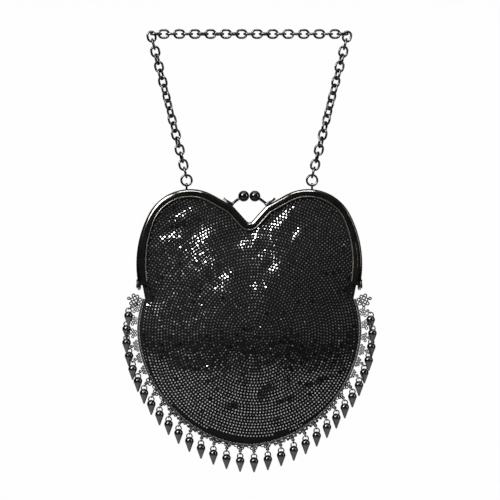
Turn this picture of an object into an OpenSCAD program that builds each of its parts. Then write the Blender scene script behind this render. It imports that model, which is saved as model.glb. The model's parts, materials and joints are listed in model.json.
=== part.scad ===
/* [Chain handle] */
// Thickness of the chain's wire
link_wire = 1.7; // [1.3:0.1:1.9]
// Length of the hole in one link
link_inner_length = 6.45; // [6.2:0.05:7.6]
// Width of the hole in one link
link_inner_width = 4.6; // [4.4:0.1:5.2]
// Play between two links that pull on each other
link_gap = 0.23; // [0.15:0.01:0.3]
// Links in the top run, an odd count
top_links = 25; // [21:2:29]
// Links in each side run
side_links = 19; // [17:1:22]

/* [Rings] */
// Radius of a handle ring, to the middle of its wire
ring_radius = 4.2; // [4:0.1:5.5]
// Thickness of a ring's wire
ring_wire = 1.6; // [1.2:0.1:1.8]
// How far a ring stands outward of the top of its lobe
ring_offset = 3; // [2:0.1:5]
// Radius of the hole in a ring lug
eye_radius = 1.25; // [1.2:0.05:1.6]
// Thickness of a ring lug
eye_thickness = 1.6; // [1.2:0.1:1.8]
// Wall of a ring lug round its hole
eye_wall = 1; // [0.8:0.1:1.4]

/* [Frame] */
// Radius of each lobe of the heart-shaped frame
lobe_radius = 37.6; // [36:0.2:39]
// Distance between the centres of the two lobes
lobe_spacing = 94.4; // [92:0.4:98]
// Height of the lobe centres above the hinges
lobe_height = 40; // [38:0.2:42]
// Height from the frame's widest level up to the lobe centres
side_drop = 22.4; // [20:0.2:24]
// How far the sides of the frame's outer edge bulge out past the lobes
side_bulge = 5.5; // [5:0.1:6]
// How far the sides of its inner edge do
inner_bulge = 4; // [3.6:0.1:4.4]
// Radius of the bottom of the notch between the lobes
notch_radius = 3; // [2.4:0.2:4]
// Depth of the notch below the top of the lobes
notch_depth = 26.6; // [25:0.2:28]
// Slope of the notch's straight sides
notch_slope = 48; // [46:1:51]
// Slope of the straight shoulder from each lobe down towards the notch
shoulder_slope = 29; // [27:1:31]
// Radius of the bend between a shoulder and the notch's side
shoulder_radius = 9.5; // [8.5:0.5:11]
// Width of the frame's face
face_width = 6.5; // [5.5:0.1:8]
// Depth of one frame half, front to back
half_depth = 4.6; // [4.2:0.1:6]
// Sheet thickness of the frame
frame_wall = 0.8; // [0.7:0.05:1]
// Step between the frame's outer edge and its face
edge_step = 0.5; // [0.3:0.05:0.6]
// Width of the bead along the frame's inner edge
bead_width = 1; // [0.7:0.1:1.4]
// Height of that bead
bead_height = 0.4; // [0.2:0.1:0.6]
// Gap between the closed frame halves
halves_gap = 0.3; // [0.2:0.05:0.5]

/* [Hinges] */
// Radius of a hinge ear
ear_radius = 3.2; // [2.8:0.1:3.6]
// Radius of a rivet's shank
rivet_radius = 1.2; // [0.9:0.05:1.4]
// Play of a rivet in the moving ear
rivet_play = 0.06; // [0.03:0.01:0.1]
// Radius of a rivet's head
rivet_head_radius = 2.2; // [1.9:0.1:2.6]
// Height of a rivet's head
rivet_head_height = 1.1; // [0.7:0.1:1.6]

/* [Clasp] */
// Radius of a clasp ball
clasp_ball_radius = 4.2; // [3.4:0.1:4.6]
// Gap between the two clasp balls
clasp_ball_gap = 0.5; // [0.4:0.1:1.2]
// Height of the ball centres above the bottom of the notch
clasp_rise = 21; // [19:0.2:24]
// Distance from the middle plane to the foot of a clasp arm
arm_foot = 14.2; // [13.6:0.2:17]
// Radius of a clasp arm
arm_radius = 1; // [0.8:0.05:1.2]
// Length of the tab that holds an arm to the frame
tab_length = 8; // [6:0.2:9]
// Width of that tab, front to back
tab_width = 3.2; // [2.6:0.1:3.6]
// Thickness of that tab
tab_thickness = 1.5; // [1.2:0.1:1.8]

/* [Pouch] */
// Half the pouch's width
pouch_half_width = 88; // [86:0.5:89]
// Depth of the pouch's middle below the hinges
pouch_middle = 35.2; // [32:0.2:38]
// Distance from the pouch's middle down to its lowest point
pouch_drop = 91.2; // [86:0.4:96]
// Roundness of the pouch's outline, where 2 is an ellipse
pouch_roundness = 1.85; // [1.8:0.01:2]
// Half the pouch's thickness at its middle
pouch_fullness = 16; // [12:0.5:20]
// Thickness of the studded cloth
cloth = 0.8; // [0.6:0.05:1]
// Thickness of the lining
lining_thickness = 0.4; // [0.3:0.05:0.5]
// Gap between cloth and lining, and between cut edges
cloth_gap = 0.3; // [0.2:0.05:0.4]
// Height of the loose front band above the hinges
band_height = 25; // [20:1:30]
// Radius of the piping sewn round the seam
piping_radius = 0.8; // [0.6:0.1:1]
// Width of the cord pressed into each frame channel
channel_cord_width = 0.9; // [0.6:0.1:1]

/* [Fringe] */
// Spike drops round the pouch
drops = 32; // [24:2:32]
// Half the width of the row of drops, to their balls
fringe_half_width = 98.4; // [98:0.2:101]
// Distance from the fringe's middle down to the lowest ball
fringe_drop = 101.2; // [100:0.4:106]
// Depth of the fringe's middle below the hinges
fringe_middle = 39.2; // [38:0.2:42]
// Roundness of the fringe's outline, where 2 is an ellipse
fringe_roundness = 1.8; // [1.76:0.01:1.95]
// Angle from straight down to the last drop on each side
fringe_reach = 98.2; // [90:0.2:99]
// Angle by which the row of drops is set off to one side
fringe_phase = -1; // [-2:0.5:2]
// Radius of a drop's ball
drop_ball_radius = 3.4; // [3:0.1:3.5]
// Length of a drop's cone, from its ball's centre to its tip
cone_length = 8.8; // [7.5:0.1:9]
// Radius of the cone at the ball
cone_radius = 3; // [2.6:0.1:3.1]
// Radius of the cone's tip
tip_radius = 0.6; // [0.4:0.05:0.7]
// Radius of a drop's loop, to the middle of its wire
loop_radius = 2.15; // [2:0.05:2.3]
// Thickness of that wire
loop_wire = 0.9; // [0.7:0.05:1]
// Distance from the middle of the loop's top wire to the ball's centre
drop_neck = 5.95; // [5.7:0.05:6.2]
// Thickness of a connector's wire
connector_wire = 0.8; // [0.6:0.05:0.9]
// Half the width of a connector, to the middle of its wire
connector_half_width = 1.3; // [1.25:0.05:1.5]
// Length of a connector between its end wires
connector_length = 3.1; // [2.9:0.1:3.4]
// Radius of the lace ring that holds a connector
lace_radius = 1.4; // [1.35:0.05:1.5]
// Radius that no other lace ring goes past
lace_limit = 1.75; // [1.65:0.05:1.8]
// Thickness of the lace rings' wire
lace_wire = 0.7; // [0.5:0.05:0.75]
// How far the lace at each end of the seam reaches out
bunch_reach = 11.5; // [11:0.1:12]
// Width of that lace
bunch_width = 10; // [9.9:0.1:10.5]
// How far side drops stand forward or back of the middle plane
stagger = 2.3; // [2.2:0.1:2.6]
// Angle from straight down past which the drops stand staggered
stagger_angle = 64; // [62:1:66]

/* [Hidden] */
$fn = 48;
spike_names = [for (i = [1:drops]) str("spike_", i < 10 ? "0" : "", i)];

// Chain: a link's reach is between the middles of its two end wires
link_reach = link_inner_length + link_wire;
link_bend = (link_inner_width + link_wire) / 2;
pitch = link_inner_length - link_gap;
corner_x = (top_links - 1) / 2 * pitch + link_reach / 2;
ring_x = lobe_spacing / 2 + ring_offset;
side_angle = asin((corner_x - ring_x) / (side_links * pitch));
side_twist = 90 + (side_links % 2 == 1 ? 90 / (side_links - 1) : 0);
side_end_z = -side_links * pitch * cos(side_angle);
ring_top_z = side_end_z + link_wire / 2 + ring_wire / 2 + link_gap;
ring_z = ring_top_z - ring_radius;
ring_bottom_z = ring_z - ring_radius;
eye_z = ring_bottom_z - (eye_radius - ring_wire / 2 - link_gap / 2);

// Frame: heights here are above the hinge axis, which hangs below the ring lugs
lobe_x = lobe_spacing / 2;
hinge_z = eye_z - eye_radius - eye_wall - halves_gap - lobe_height - lobe_radius;
side_level = lobe_height - side_drop;
function side_turn(inset) =
    2 * atan((side_bulge + (inner_bulge - side_bulge) * inset / face_width) / side_drop);
function side_radius(inset) = lobe_radius + side_drop / sin(side_turn(inset)) - inset;
function side_x(inset) = lobe_x - side_drop / tan(side_turn(inset));
function side_start(inset, start) = asin((start - side_level) / side_radius(inset));
notch_level = lobe_height + lobe_radius - notch_depth;
notch_centre = notch_level + notch_radius;
shoulder_normal = [-sin(shoulder_slope), cos(shoulder_slope)];
notch_normal = [-sin(notch_slope), cos(notch_slope)];
shoulder_reach = [lobe_x, lobe_height] * shoulder_normal + lobe_radius - shoulder_radius;
notch_reach = notch_centre * notch_normal[1] - notch_radius - shoulder_radius;
shoulder_centre = [shoulder_reach * notch_normal[1] - notch_reach * shoulder_normal[1],
                   notch_reach * shoulder_normal[0] - shoulder_reach * notch_normal[0]]
    / sin(notch_slope - shoulder_slope);
ear_lap = frame_wall;
channel_start = ear_radius + frame_wall;
cord_start = channel_start + 2 * ear_lap;
ear_x = side_x(0) + side_radius(0) * cos(side_start(0, channel_start));
overrun = frame_wall;

// Clasp: the foot stands on the shoulder, the ball on the middle plane
ball_x = clasp_ball_radius + clasp_ball_gap / 2;
ball_height = notch_level + clasp_rise;
foot_height = lobe_height + lobe_radius / cos(shoulder_slope) - (lobe_x - arm_foot) * tan(shoulder_slope);
seat_depth = halves_gap + tab_width / 2;
arm_lift = (tab_thickness + arm_radius) / 2;

// Cloth: where it lies in the channels, and its rings from the rim to the middle
cloth_inset = cloth_gap + channel_cord_width + frame_wall + cloth_gap + cloth_gap;
cord_inset = frame_wall + cloth_gap;
half_gap_clear = halves_gap / 2 + frame_wall + cloth_gap / 2;
rim_half_depth = half_depth - 2 * frame_wall;
seam_half_depth = cloth + cloth_gap / 2;
hem_share = 0.975;
seam_rise = 0.8;
rim_rise = 1.5;
rim_shares = [1, 0.975, 0.95, 0.9, 0.82, 0.7, 0.54, 0.36, 0.18];
lower_steps = 13;
lower_reach = 107;

// Fringe
drop_step = 2 * fringe_reach / (drops - 1);
hook_play = connector_wire / 8;
connector_seat = (loop_wire + connector_wire) / 2 + hook_play;
connector_tilt_share = 0.5;
lace_gap = lace_wire / 4;
lace_reach = 106.5;
head_step = 0.1;
bunch_turn = 104.5;

gunmetal = [0.16, 0.16, 0.17];
black_cloth = [0.08, 0.08, 0.09];
satin = [0.12, 0.11, 0.12];

// The plane of the frame: x stays x, y becomes height above the hinges, z faces the viewer
module frame_plane() {
    translate([0, 0, hinge_z]) rotate([90, 0, 0]) children();
}

module both_sides() {
    children();
    mirror([1, 0, 0]) children();
}

// One oval chain link, long along z and open along y
module link(wire, reach, bend) {
    straight = reach - 2 * bend;
    for (end = [0, 1]) mirror([0, 0, end]) translate([0, 0, straight / 2]) rotate([90, 0, 0])
        rotate_extrude(angle = 180) translate([bend, 0]) circle(d = wire);
    if (straight > 0) for (side = [-1, 1]) translate([side * bend, 0, -straight / 2])
        cylinder(h = straight, d = wire);
}

module handle_link() {
    link(link_wire, link_reach, link_bend);
}

module handle_top_links() {
    color(gunmetal) for (k = [0:top_links - 1])
        translate([(k - (top_links - 1) / 2) * pitch, 0, 0]) rotate([90 * (k + 1), 0, 0])
            rotate([0, 90, 0]) handle_link();
}

// A side run hangs from the corner link's end wire down to its ring
module side_run() {
    for (k = [0:side_links - 1]) translate([corner_x, 0, 0]) rotate([0, side_angle, 0])
        translate([0, 0, link_wire + link_gap - link_reach / 2 - k * pitch])
            rotate([0, 0, k * side_twist]) handle_link();
}

module handle_right_links() {
    color(gunmetal) side_run();
}

module handle_left_links() {
    color(gunmetal) mirror([1, 0, 0]) side_run();
}

module handle_ring() {
    translate([ring_x, 0, ring_z]) rotate([90, 0, 0])
        rotate_extrude() translate([ring_radius, 0]) circle(d = ring_wire);
}

module ring_right() {
    color(gunmetal) handle_ring();
}

module ring_left() {
    color(gunmetal) mirror([1, 0, 0]) handle_ring();
}

// A lug's eye stands on the back frame half and reaches forward over the closing line
module ring_lug() {
    lug_radius = eye_radius + eye_wall;
    difference() {
        translate([ring_x - eye_thickness / 2, 0, eye_z]) {
            rotate([0, 90, 0]) cylinder(h = eye_thickness, r = lug_radius);
            translate([0, halves_gap, -lug_radius - eye_wall])
                cube([eye_thickness, lug_radius, lug_radius + eye_wall]);
        }
        translate([ring_x - eye_thickness / 2 - overrun, 0, eye_z]) rotate([0, 90, 0])
            cylinder(h = eye_thickness + 2 * overrun, r = eye_radius);
        frame_plane() strip(0, face_width, -half_depth, 0);
    }
}

module ring_lug_right() {
    color(gunmetal) ring_lug();
}

module ring_lug_left() {
    color(gunmetal) mirror([1, 0, 0]) ring_lug();
}

function arc_points(centre, radius, from, to, steps) =
    [for (k = [0:steps]) centre + radius * [cos(from + (to - from) * k / steps),
                                            sin(from + (to - from) * k / steps)]];

function flipped(points) = [for (k = [len(points) - 1:-1:0]) [-points[k][0], points[k][1]]];

// The frame's outline, drawn in by an inset, from the right hinge over both lobes to the left one
function frame_right(inset, start, side_chords, lobe_chords, notch_chords) = concat(
    arc_points([side_x(inset), side_level], side_radius(inset), side_start(inset, start),
               side_turn(inset), side_chords),
    arc_points([lobe_x, lobe_height], lobe_radius - inset,
               side_turn(inset) + 90 / lobe_chords, 90 + shoulder_slope, lobe_chords),
    arc_points(shoulder_centre, shoulder_radius - inset, 90 + shoulder_slope, 90 + notch_slope,
               notch_chords),
    arc_points([0, notch_centre], notch_radius + inset, notch_slope - 90, -90, notch_chords));

function frame_arch(inset, start) =
    let (right = frame_right(inset, start, 6, 30, 6), left = flipped(right))
    concat(right, [for (k = [1:len(left) - 1]) left[k]]);

// A strip along the frame between two insets, raised from one level to another
module strip(outer, inner, low, high, start = channel_start) {
    inside = frame_arch(inner, start);
    translate([0, 0, low]) linear_extrude(high - low)
        polygon(concat(frame_arch(outer, start), [for (k = [len(inside) - 1:-1:0]) inside[k]]));
}

module frame_half() {
    back = halves_gap / 2;
    difference() {
        union() {
            strip(0, face_width, back, half_depth - edge_step);
            strip(edge_step, face_width, half_depth - edge_step, half_depth);
        }
        strip(frame_wall, face_width + overrun, back + frame_wall, half_depth - frame_wall);
    }
    strip(face_width - bead_width, face_width, half_depth - bead_height, half_depth + bead_height);
}

// The front ear is the channel's outer wall carried down round the rivet
module front_ear() {
    outer = ear_x - halves_gap / 2;
    difference() {
        translate([outer - frame_wall, 0, 0]) {
            rotate([0, 90, 0]) cylinder(h = frame_wall, r = ear_radius);
            translate([0, 0, halves_gap])
                cube([frame_wall, channel_start + ear_lap, ear_radius - halves_gap]);
        }
        translate([outer - frame_wall - overrun, 0, 0]) rotate([0, 90, 0])
            cylinder(h = frame_wall + 2 * overrun, r = rivet_radius + rivet_play);
    }
}

// The back ear lies inside the front one and joins the back channel's inner side
module back_ear() {
    inner = ear_x - halves_gap / 2 - 2 * frame_wall - halves_gap;
    difference() {
        translate([inner, 0, 0]) {
            rotate([0, 90, 0]) cylinder(h = frame_wall, r = ear_radius);
            translate([0, 0, -half_depth + frame_wall])
                cube([frame_wall, channel_start + ear_lap, half_depth - frame_wall - halves_gap]);
            translate([0, channel_start - frame_wall, -half_depth + frame_wall])
                cube([2 * frame_wall + halves_gap, frame_wall + ear_lap,
                      half_depth - frame_wall - halves_gap]);
        }
        translate([inner - overrun, 0, 0]) rotate([0, 90, 0])
            cylinder(h = frame_wall + 2 * overrun, r = rivet_radius);
    }
}

module front_frame() {
    color(gunmetal) frame_plane() union() {
        frame_half();
        both_sides() front_ear();
    }
}

module back_frame() {
    color(gunmetal) frame_plane() union() {
        mirror([0, 0, 1]) frame_half();
        both_sides() back_ear();
    }
}

module hinge_rivet() {
    outer = ear_x - halves_gap / 2;
    inner = outer - 2 * frame_wall - halves_gap;
    translate([0, 0, hinge_z]) rotate([0, 90, 0]) {
        translate([0, 0, inner]) cylinder(h = outer - inner + halves_gap, r = rivet_radius);
        translate([0, 0, inner - rivet_head_height / 2])
            cylinder(h = rivet_head_height / 2, r = rivet_head_radius);
        translate([0, 0, outer + halves_gap]) cylinder(
            h = rivet_head_height, r1 = rivet_head_radius, r2 = rivet_radius);
    }
}

module hinge_rivet_right() {
    color(gunmetal) hinge_rivet();
}

module hinge_rivet_left() {
    color(gunmetal) mirror([1, 0, 0]) hinge_rivet();
}

// A tab on the frame, and from it a round arm up to the ball
module clasp_arm() {
    foot = [arm_foot - arm_lift * sin(shoulder_slope), foot_height + arm_lift * cos(shoulder_slope),
            -seat_depth];
    ball = [ball_x, ball_height, 0];
    run = ball - foot;
    difference() {
        union() {
            translate([arm_foot, foot_height, 0]) rotate([0, 0, shoulder_slope])
                translate([-arm_radius, 0, -seat_depth - tab_width / 2])
                    cube([tab_length, tab_thickness, tab_width]);
            translate(foot) sphere(r = arm_radius);
            translate(foot) rotate([0, acos(run[2] / norm(run)), atan2(run[1], run[0])])
                cylinder(h = norm(run), r = arm_radius);
        }
        translate(ball) sphere(r = clasp_ball_radius);
    }
}

module clasp_ball() {
    translate([ball_x, ball_height, 0]) sphere(r = clasp_ball_radius);
}

module clasp_arm_back() {
    color(gunmetal) frame_plane() clasp_arm();
}

module clasp_arm_front() {
    color(gunmetal) frame_plane() mirror([0, 0, 1]) mirror([1, 0, 0]) clasp_arm();
}

module clasp_ball_back() {
    color(gunmetal) frame_plane() clasp_ball();
}

module clasp_ball_front() {
    color(gunmetal) frame_plane() mirror([1, 0, 0]) clasp_ball();
}

module channel_cord() {
    strip(cord_inset, cord_inset + channel_cord_width, half_gap_clear, half_depth - half_gap_clear,
          cord_start);
}

module channel_cord_front() {
    color(black_cloth) frame_plane() channel_cord();
}

module channel_cord_back() {
    color(black_cloth) frame_plane() mirror([0, 0, 1]) channel_cord();
}

// Point on an oval of the given roundness, at an angle from straight down
function oval(angle, width, drop, roundness) =
    let (radius = pow(pow(abs(sin(angle)) / width, roundness)
                      + pow(abs(cos(angle)) / drop, roundness), -1 / roundness))
    [radius * sin(angle), -radius * cos(angle)];

// The right half of the cloth's outline, from its lowest point up to the notch
lower_half = [for (k = [0:lower_steps]) [0, -pouch_middle]
    + oval(lower_reach * k / lower_steps, pouch_half_width, pouch_drop, pouch_roundness)];
upper_half = frame_right(cloth_inset, channel_start, 2, 11, 2);
right_half = concat(lower_half, upper_half);
left_half = flipped(right_half);
inner_left = [for (k = [1:len(left_half) - 2]) left_half[k]];
outline = concat(right_half, inner_left);
middle = [0, -pouch_middle];

// 1 where a rim point is held in the frame, 0 along the seam
function held(point) = min(1, max(0, (point[1] + pouch_middle / 2) / (pouch_middle / 2)));

// Half-thickness of the pouch on the line from a rim point to the middle
function half_thickness(point, share) =
    let (grip = held(point),
         edge = seam_half_depth + (rim_half_depth - seam_half_depth) * grip,
         away = norm(point - middle) * (1 - share),
         free = max(0, away - grip * face_width) / (norm(point - middle) - grip * face_width),
         rise = pow(sin(90 * min(1, free)), seam_rise + (rim_rise - seam_rise) * grip))
    edge + (pouch_fullness - edge) * rise;

// Nested loops of points over the outline, then the middle point
function dome_points(depth, hem) = concat(
    [for (share = rim_shares) for (point = outline)
        let (at = middle + (point - middle) * share * hem)
        [at[0], at[1], half_thickness(point, share * hem) + depth]],
    [[middle[0], middle[1], pouch_fullness + depth]]);

function dome_faces(start, up) =
    let (count = len(outline), rings = len(rim_shares), tip = start + rings * count)
    concat(
        [for (r = [0:rings - 2]) for (k = [0:count - 1])
            let (a = start + r * count + k, b = start + r * count + (k + 1) % count)
            for (face = [[a, b + count, b], [a, a + count, b + count]])
            up ? face : [face[2], face[1], face[0]]],
        [for (k = [0:count - 1])
            let (a = start + (rings - 1) * count + k, b = start + (rings - 1) * count + (k + 1) % count)
            up ? [a, tip, b] : [b, tip, a]]);

// A closed skin over the front of the pouch, from one depth to another
module dome(outer_depth, inner_depth, hem) {
    count = len(outline);
    skin = len(rim_shares) * count + 1;
    rim = [for (k = [0:count - 1])
        let (n = (k + 1) % count)
        for (face = [[k, n, skin + n], [k, skin + n, skin + k]]) face];
    polyhedron(
        points = concat(dome_points(outer_depth, hem), dome_points(inner_depth, hem)),
        faces = concat(dome_faces(0, true), dome_faces(skin, false), rim));
}

module cloth_dome() {
    dome(0, -cloth, 1);
}

module lining_dome() {
    dome(-cloth - cloth_gap, -cloth - cloth_gap - lining_thickness, hem_share);
}

// Everything between two heights above the hinges
module level(low, high) {
    reach = pouch_half_width + pouch_drop;
    translate([-reach, low, -reach]) cube([2 * reach, high - low, 2 * reach]);
}

pouch_floor = -pouch_middle - pouch_drop - overrun;
pouch_ceiling = lobe_height + lobe_radius;
band_floor = -channel_start - frame_wall;

module pouch_back() {
    color(black_cloth) frame_plane() mirror([0, 0, 1]) cloth_dome();
}

module pouch_front_lower() {
    color(black_cloth) frame_plane() intersection() {
        cloth_dome();
        level(pouch_floor, band_floor - cloth_gap);
    }
}

module pouch_front_band() {
    color(black_cloth) frame_plane() intersection() {
        cloth_dome();
        level(band_floor, band_height - cloth_gap);
    }
}

module pouch_front_upper() {
    color(black_cloth) frame_plane() intersection() {
        cloth_dome();
        level(band_height, pouch_ceiling);
    }
}

module lining_back() {
    color(satin) frame_plane() mirror([0, 0, 1]) lining_dome();
}

module lining_front_lower() {
    color(satin) frame_plane() intersection() {
        lining_dome();
        level(pouch_floor, band_floor - cloth_gap);
    }
}

module lining_front_upper() {
    color(satin) frame_plane() intersection() {
        lining_dome();
        level(band_height, pouch_ceiling);
    }
}

// The piping is a round cord along the seam, in rings of points square to its run
piping_steps = 48;
piping_sides = 8;
piping_turn = 2 * lace_reach / piping_steps;
function seam_point(angle) = middle
    + oval(angle, pouch_half_width + piping_radius + cloth_gap / 2,
           pouch_drop + piping_radius + cloth_gap / 2, pouch_roundness);

module seam_piping() {
    rings = [for (k = [0:piping_steps])
        let (angle = k * piping_turn - lace_reach,
             at = seam_point(angle),
             ahead = seam_point(angle + piping_turn) - seam_point(angle - piping_turn),
             out = [ahead[1], -ahead[0]] / norm(ahead))
        for (s = [0:piping_sides - 1])
            let (turn = 360 * s / piping_sides)
            [at[0] + out[0] * piping_radius * cos(turn), at[1] + out[1] * piping_radius * cos(turn),
             piping_radius * sin(turn)]];
    walls = [for (k = [0:piping_steps - 1]) for (s = [0:piping_sides - 1])
        let (a = k * piping_sides + s, b = k * piping_sides + (s + 1) % piping_sides)
        for (face = [[a, b, b + piping_sides], [a, b + piping_sides, a + piping_sides]]) face];
    first = [for (s = [piping_sides - 1:-1:0]) s];
    last = [for (s = [0:piping_sides - 1]) piping_steps * piping_sides + s];
    color(black_cloth) frame_plane() polyhedron(points = rings, faces = concat([first], walls, [last]));
}

// Fringe: each drop hangs from the connector at its angle from straight down
function drop_angle(i) = fringe_phase - fringe_reach + i * drop_step;
function drop_side(i) = abs(drop_angle(i)) < stagger_angle ? 0 : (i % 2 == 0 ? 1 : -1);
function ball_at(i) = [0, -fringe_middle]
    + oval(drop_angle(i), fringe_half_width, fringe_drop, fringe_roundness);
function swing_at(i) = ball_at(i) + [0, drop_neck];
function connector_turn(i) = drop_angle(i) * connector_tilt_share;
function toward_seam(i) = [-sin(connector_turn(i)), cos(connector_turn(i))];
function hook_at(i) = swing_at(i) - [0, connector_seat];
function deep(point, i) = [point[0], point[1], drop_side(i) * stagger];
function first_ring(i) = deep(hook_at(i) + toward_seam(i) * connector_length, i);

// The place on the piping nearest a lace's first ring
function lace_head(i) =
    let (places = [for (t = [-lace_reach:head_step:lace_reach]) seam_point(t)],
         gaps = [for (place = places) norm(place - [first_ring(i)[0], first_ring(i)[1]])],
         nearest = search(min(gaps), gaps)[0])
    [places[nearest][0], places[nearest][1], 0];

// Distance along the piping that a lace shares with its neighbours
function lace_width(i) =
    norm(lace_head(min(drops - 1, i + 1)) - lace_head(max(0, i - 1)))
    / (min(drops - 1, i + 1) - max(0, i - 1));

module spike(i) {
    at = swing_at(i);
    color(gunmetal) frame_plane() translate([at[0], at[1], drop_side(i) * stagger]) {
        translate([0, -loop_radius, 0]) rotate_extrude() translate([loop_radius, 0]) circle(d = loop_wire);
        translate([0, -drop_neck, 0]) sphere(r = drop_ball_radius);
        translate([0, -drop_neck, 0]) rotate([90, 0, 0])
            cylinder(h = cone_length, r1 = cone_radius, r2 = tip_radius);
    }
}

module connector(i) {
    at = hook_at(i);
    translate([at[0], at[1], drop_side(i) * stagger]) rotate([0, 0, connector_turn(i)])
        translate([0, connector_length / 2, 0]) rotate([-90, 0, 0]) rotate([0, 0, 90])
            link(connector_wire, connector_length, connector_half_width);
}

module fringe_connectors() {
    color(gunmetal) frame_plane() for (i = [0:drops - 1]) connector(i);
}

// Rings of one lace as [ahead, aside, radius with half a gap]. They widen from the first ring to a row
// along the piping, which goes on past its middle pair where the neighbouring laces leave the width
function lace_rings(room, width) =
    let (left = room - lace_radius,
         rows = max(0, ceil((left / lace_limit - sqrt(3)) / 2)),
         sum = room + lace_radius,
         size = rows > 0 ? left / (2 * rows + sqrt(3)) : sum - sqrt(2 * lace_radius * sum),
         ends = 4 * size < width / 2 ? [-3, -1, 1, 3] : [-1, 1])
    concat([[0, 0, lace_radius]],
           [for (k = [1:1:rows]) for (way = 6 * size < width ? [-2, 0, 2] : [0])
               [lace_radius + (2 * k - 1) * size, way * size, size]],
           [for (way = ends) [room - size, way * size, size]]);

module lace(first, head, width) {
    run = head - first;
    translate(first) rotate([0, 0, atan2(run[1], run[0])]) rotate([0, -asin(run[2] / norm(run)), 0])
        for (place = lace_rings(norm(run) - piping_radius - lace_gap, width))
            translate([place[0], place[1], 0]) rotate_extrude()
                translate([place[2] - (lace_wire + lace_gap) / 2, 0]) circle(d = lace_wire);
}

// A lace without a drop, at one end of the seam, set off from the last drop's lace in depth
module bunch(side) {
    head = seam_point(side * bunch_turn);
    ahead = seam_point(side * (bunch_turn + head_step)) - seam_point(side * (bunch_turn - head_step));
    first = head + [ahead[1], -ahead[0]] * side * bunch_reach / norm(ahead);
    last_side = drop_side(side > 0 ? drops - 1 : 0);
    lace([first[0], first[1], -last_side * stagger], [head[0], head[1], 0], bunch_width);
}

module fringe_lace() {
    color(gunmetal) frame_plane() {
        for (i = [0:drops - 1]) lace(first_ring(i), lace_head(i), lace_width(i));
        for (side = [-1, 1]) bunch(side);
    }
}

handle_top_links();
handle_left_links();
handle_right_links();
ring_left();
ring_right();
back_frame();
front_frame();
ring_lug_left();
ring_lug_right();
hinge_rivet_left();
hinge_rivet_right();
clasp_arm_back();
clasp_arm_front();
clasp_ball_back();
clasp_ball_front();
channel_cord_back();
channel_cord_front();
pouch_back();
pouch_front_lower();
pouch_front_band();
pouch_front_upper();
lining_back();
lining_front_lower();
lining_front_upper();
seam_piping();
fringe_lace();
fringe_connectors();
for (i = [0:drops - 1]) spike(i);
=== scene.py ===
"""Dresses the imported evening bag: plated frame and clasp, studded pouch, lining, chain and spike fringe."""

from __future__ import annotations

import json
import logging
import math
import random
from abc import ABC, abstractmethod
from dataclasses import dataclass, field, replace
from enum import Enum
from typing import Any, Iterable, NamedTuple, Sequence

import bmesh
import bpy
import numpy as np
from mathutils import Matrix, Vector

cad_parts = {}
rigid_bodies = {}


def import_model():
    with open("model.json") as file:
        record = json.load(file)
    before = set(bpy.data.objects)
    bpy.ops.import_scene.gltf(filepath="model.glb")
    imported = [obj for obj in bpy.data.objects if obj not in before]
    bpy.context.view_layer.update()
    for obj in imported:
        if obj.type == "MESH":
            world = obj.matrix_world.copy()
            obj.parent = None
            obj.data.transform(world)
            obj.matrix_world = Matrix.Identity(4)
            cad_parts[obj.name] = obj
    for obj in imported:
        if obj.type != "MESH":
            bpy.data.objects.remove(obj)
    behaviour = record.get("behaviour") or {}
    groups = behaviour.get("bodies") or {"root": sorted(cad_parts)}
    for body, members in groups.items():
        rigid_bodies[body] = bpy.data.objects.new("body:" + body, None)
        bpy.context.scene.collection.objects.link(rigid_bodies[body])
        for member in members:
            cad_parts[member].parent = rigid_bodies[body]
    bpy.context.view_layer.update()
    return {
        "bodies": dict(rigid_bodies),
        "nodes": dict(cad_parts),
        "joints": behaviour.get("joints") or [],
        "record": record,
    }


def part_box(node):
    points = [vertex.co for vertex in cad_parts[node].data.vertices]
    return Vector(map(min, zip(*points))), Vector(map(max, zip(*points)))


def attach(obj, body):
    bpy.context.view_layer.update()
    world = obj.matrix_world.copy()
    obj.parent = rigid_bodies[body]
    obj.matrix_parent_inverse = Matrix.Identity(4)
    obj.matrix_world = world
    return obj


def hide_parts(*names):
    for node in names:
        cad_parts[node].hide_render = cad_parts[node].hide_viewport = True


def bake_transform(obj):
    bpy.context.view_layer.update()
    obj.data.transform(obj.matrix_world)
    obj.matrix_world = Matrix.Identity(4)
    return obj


LOG = logging.getLogger("bag")
MM = 0.001
Point = tuple[float, float]
Step = tuple[tuple[float, float], tuple[float, float]]


def sin(degrees: float) -> float:
    """Sine of an angle in degrees."""
    return math.sin(math.radians(degrees))


def cos(degrees: float) -> float:
    """Cosine of an angle in degrees."""
    return math.cos(math.radians(degrees))


def tan(degrees: float) -> float:
    """Tangent of an angle in degrees."""
    return math.tan(math.radians(degrees))


class Side(Enum):
    """Which half of the bag a piece belongs to; the value is the way its depth points along world Y."""

    FRONT = -1
    BACK = 1

    @property
    def tag(self) -> str:
        """Lower-case name used in piece names."""
        return self.name.lower()

    @property
    def outward(self) -> int:
        """1 for the front and -1 for the back: the side's sign in depths, which run towards the viewer."""
        return -self.value

    @property
    def body(self) -> str:
        """Body that this half of the frame belongs to."""
        return "front_frame" if self is Side.FRONT else "bag"


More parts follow.
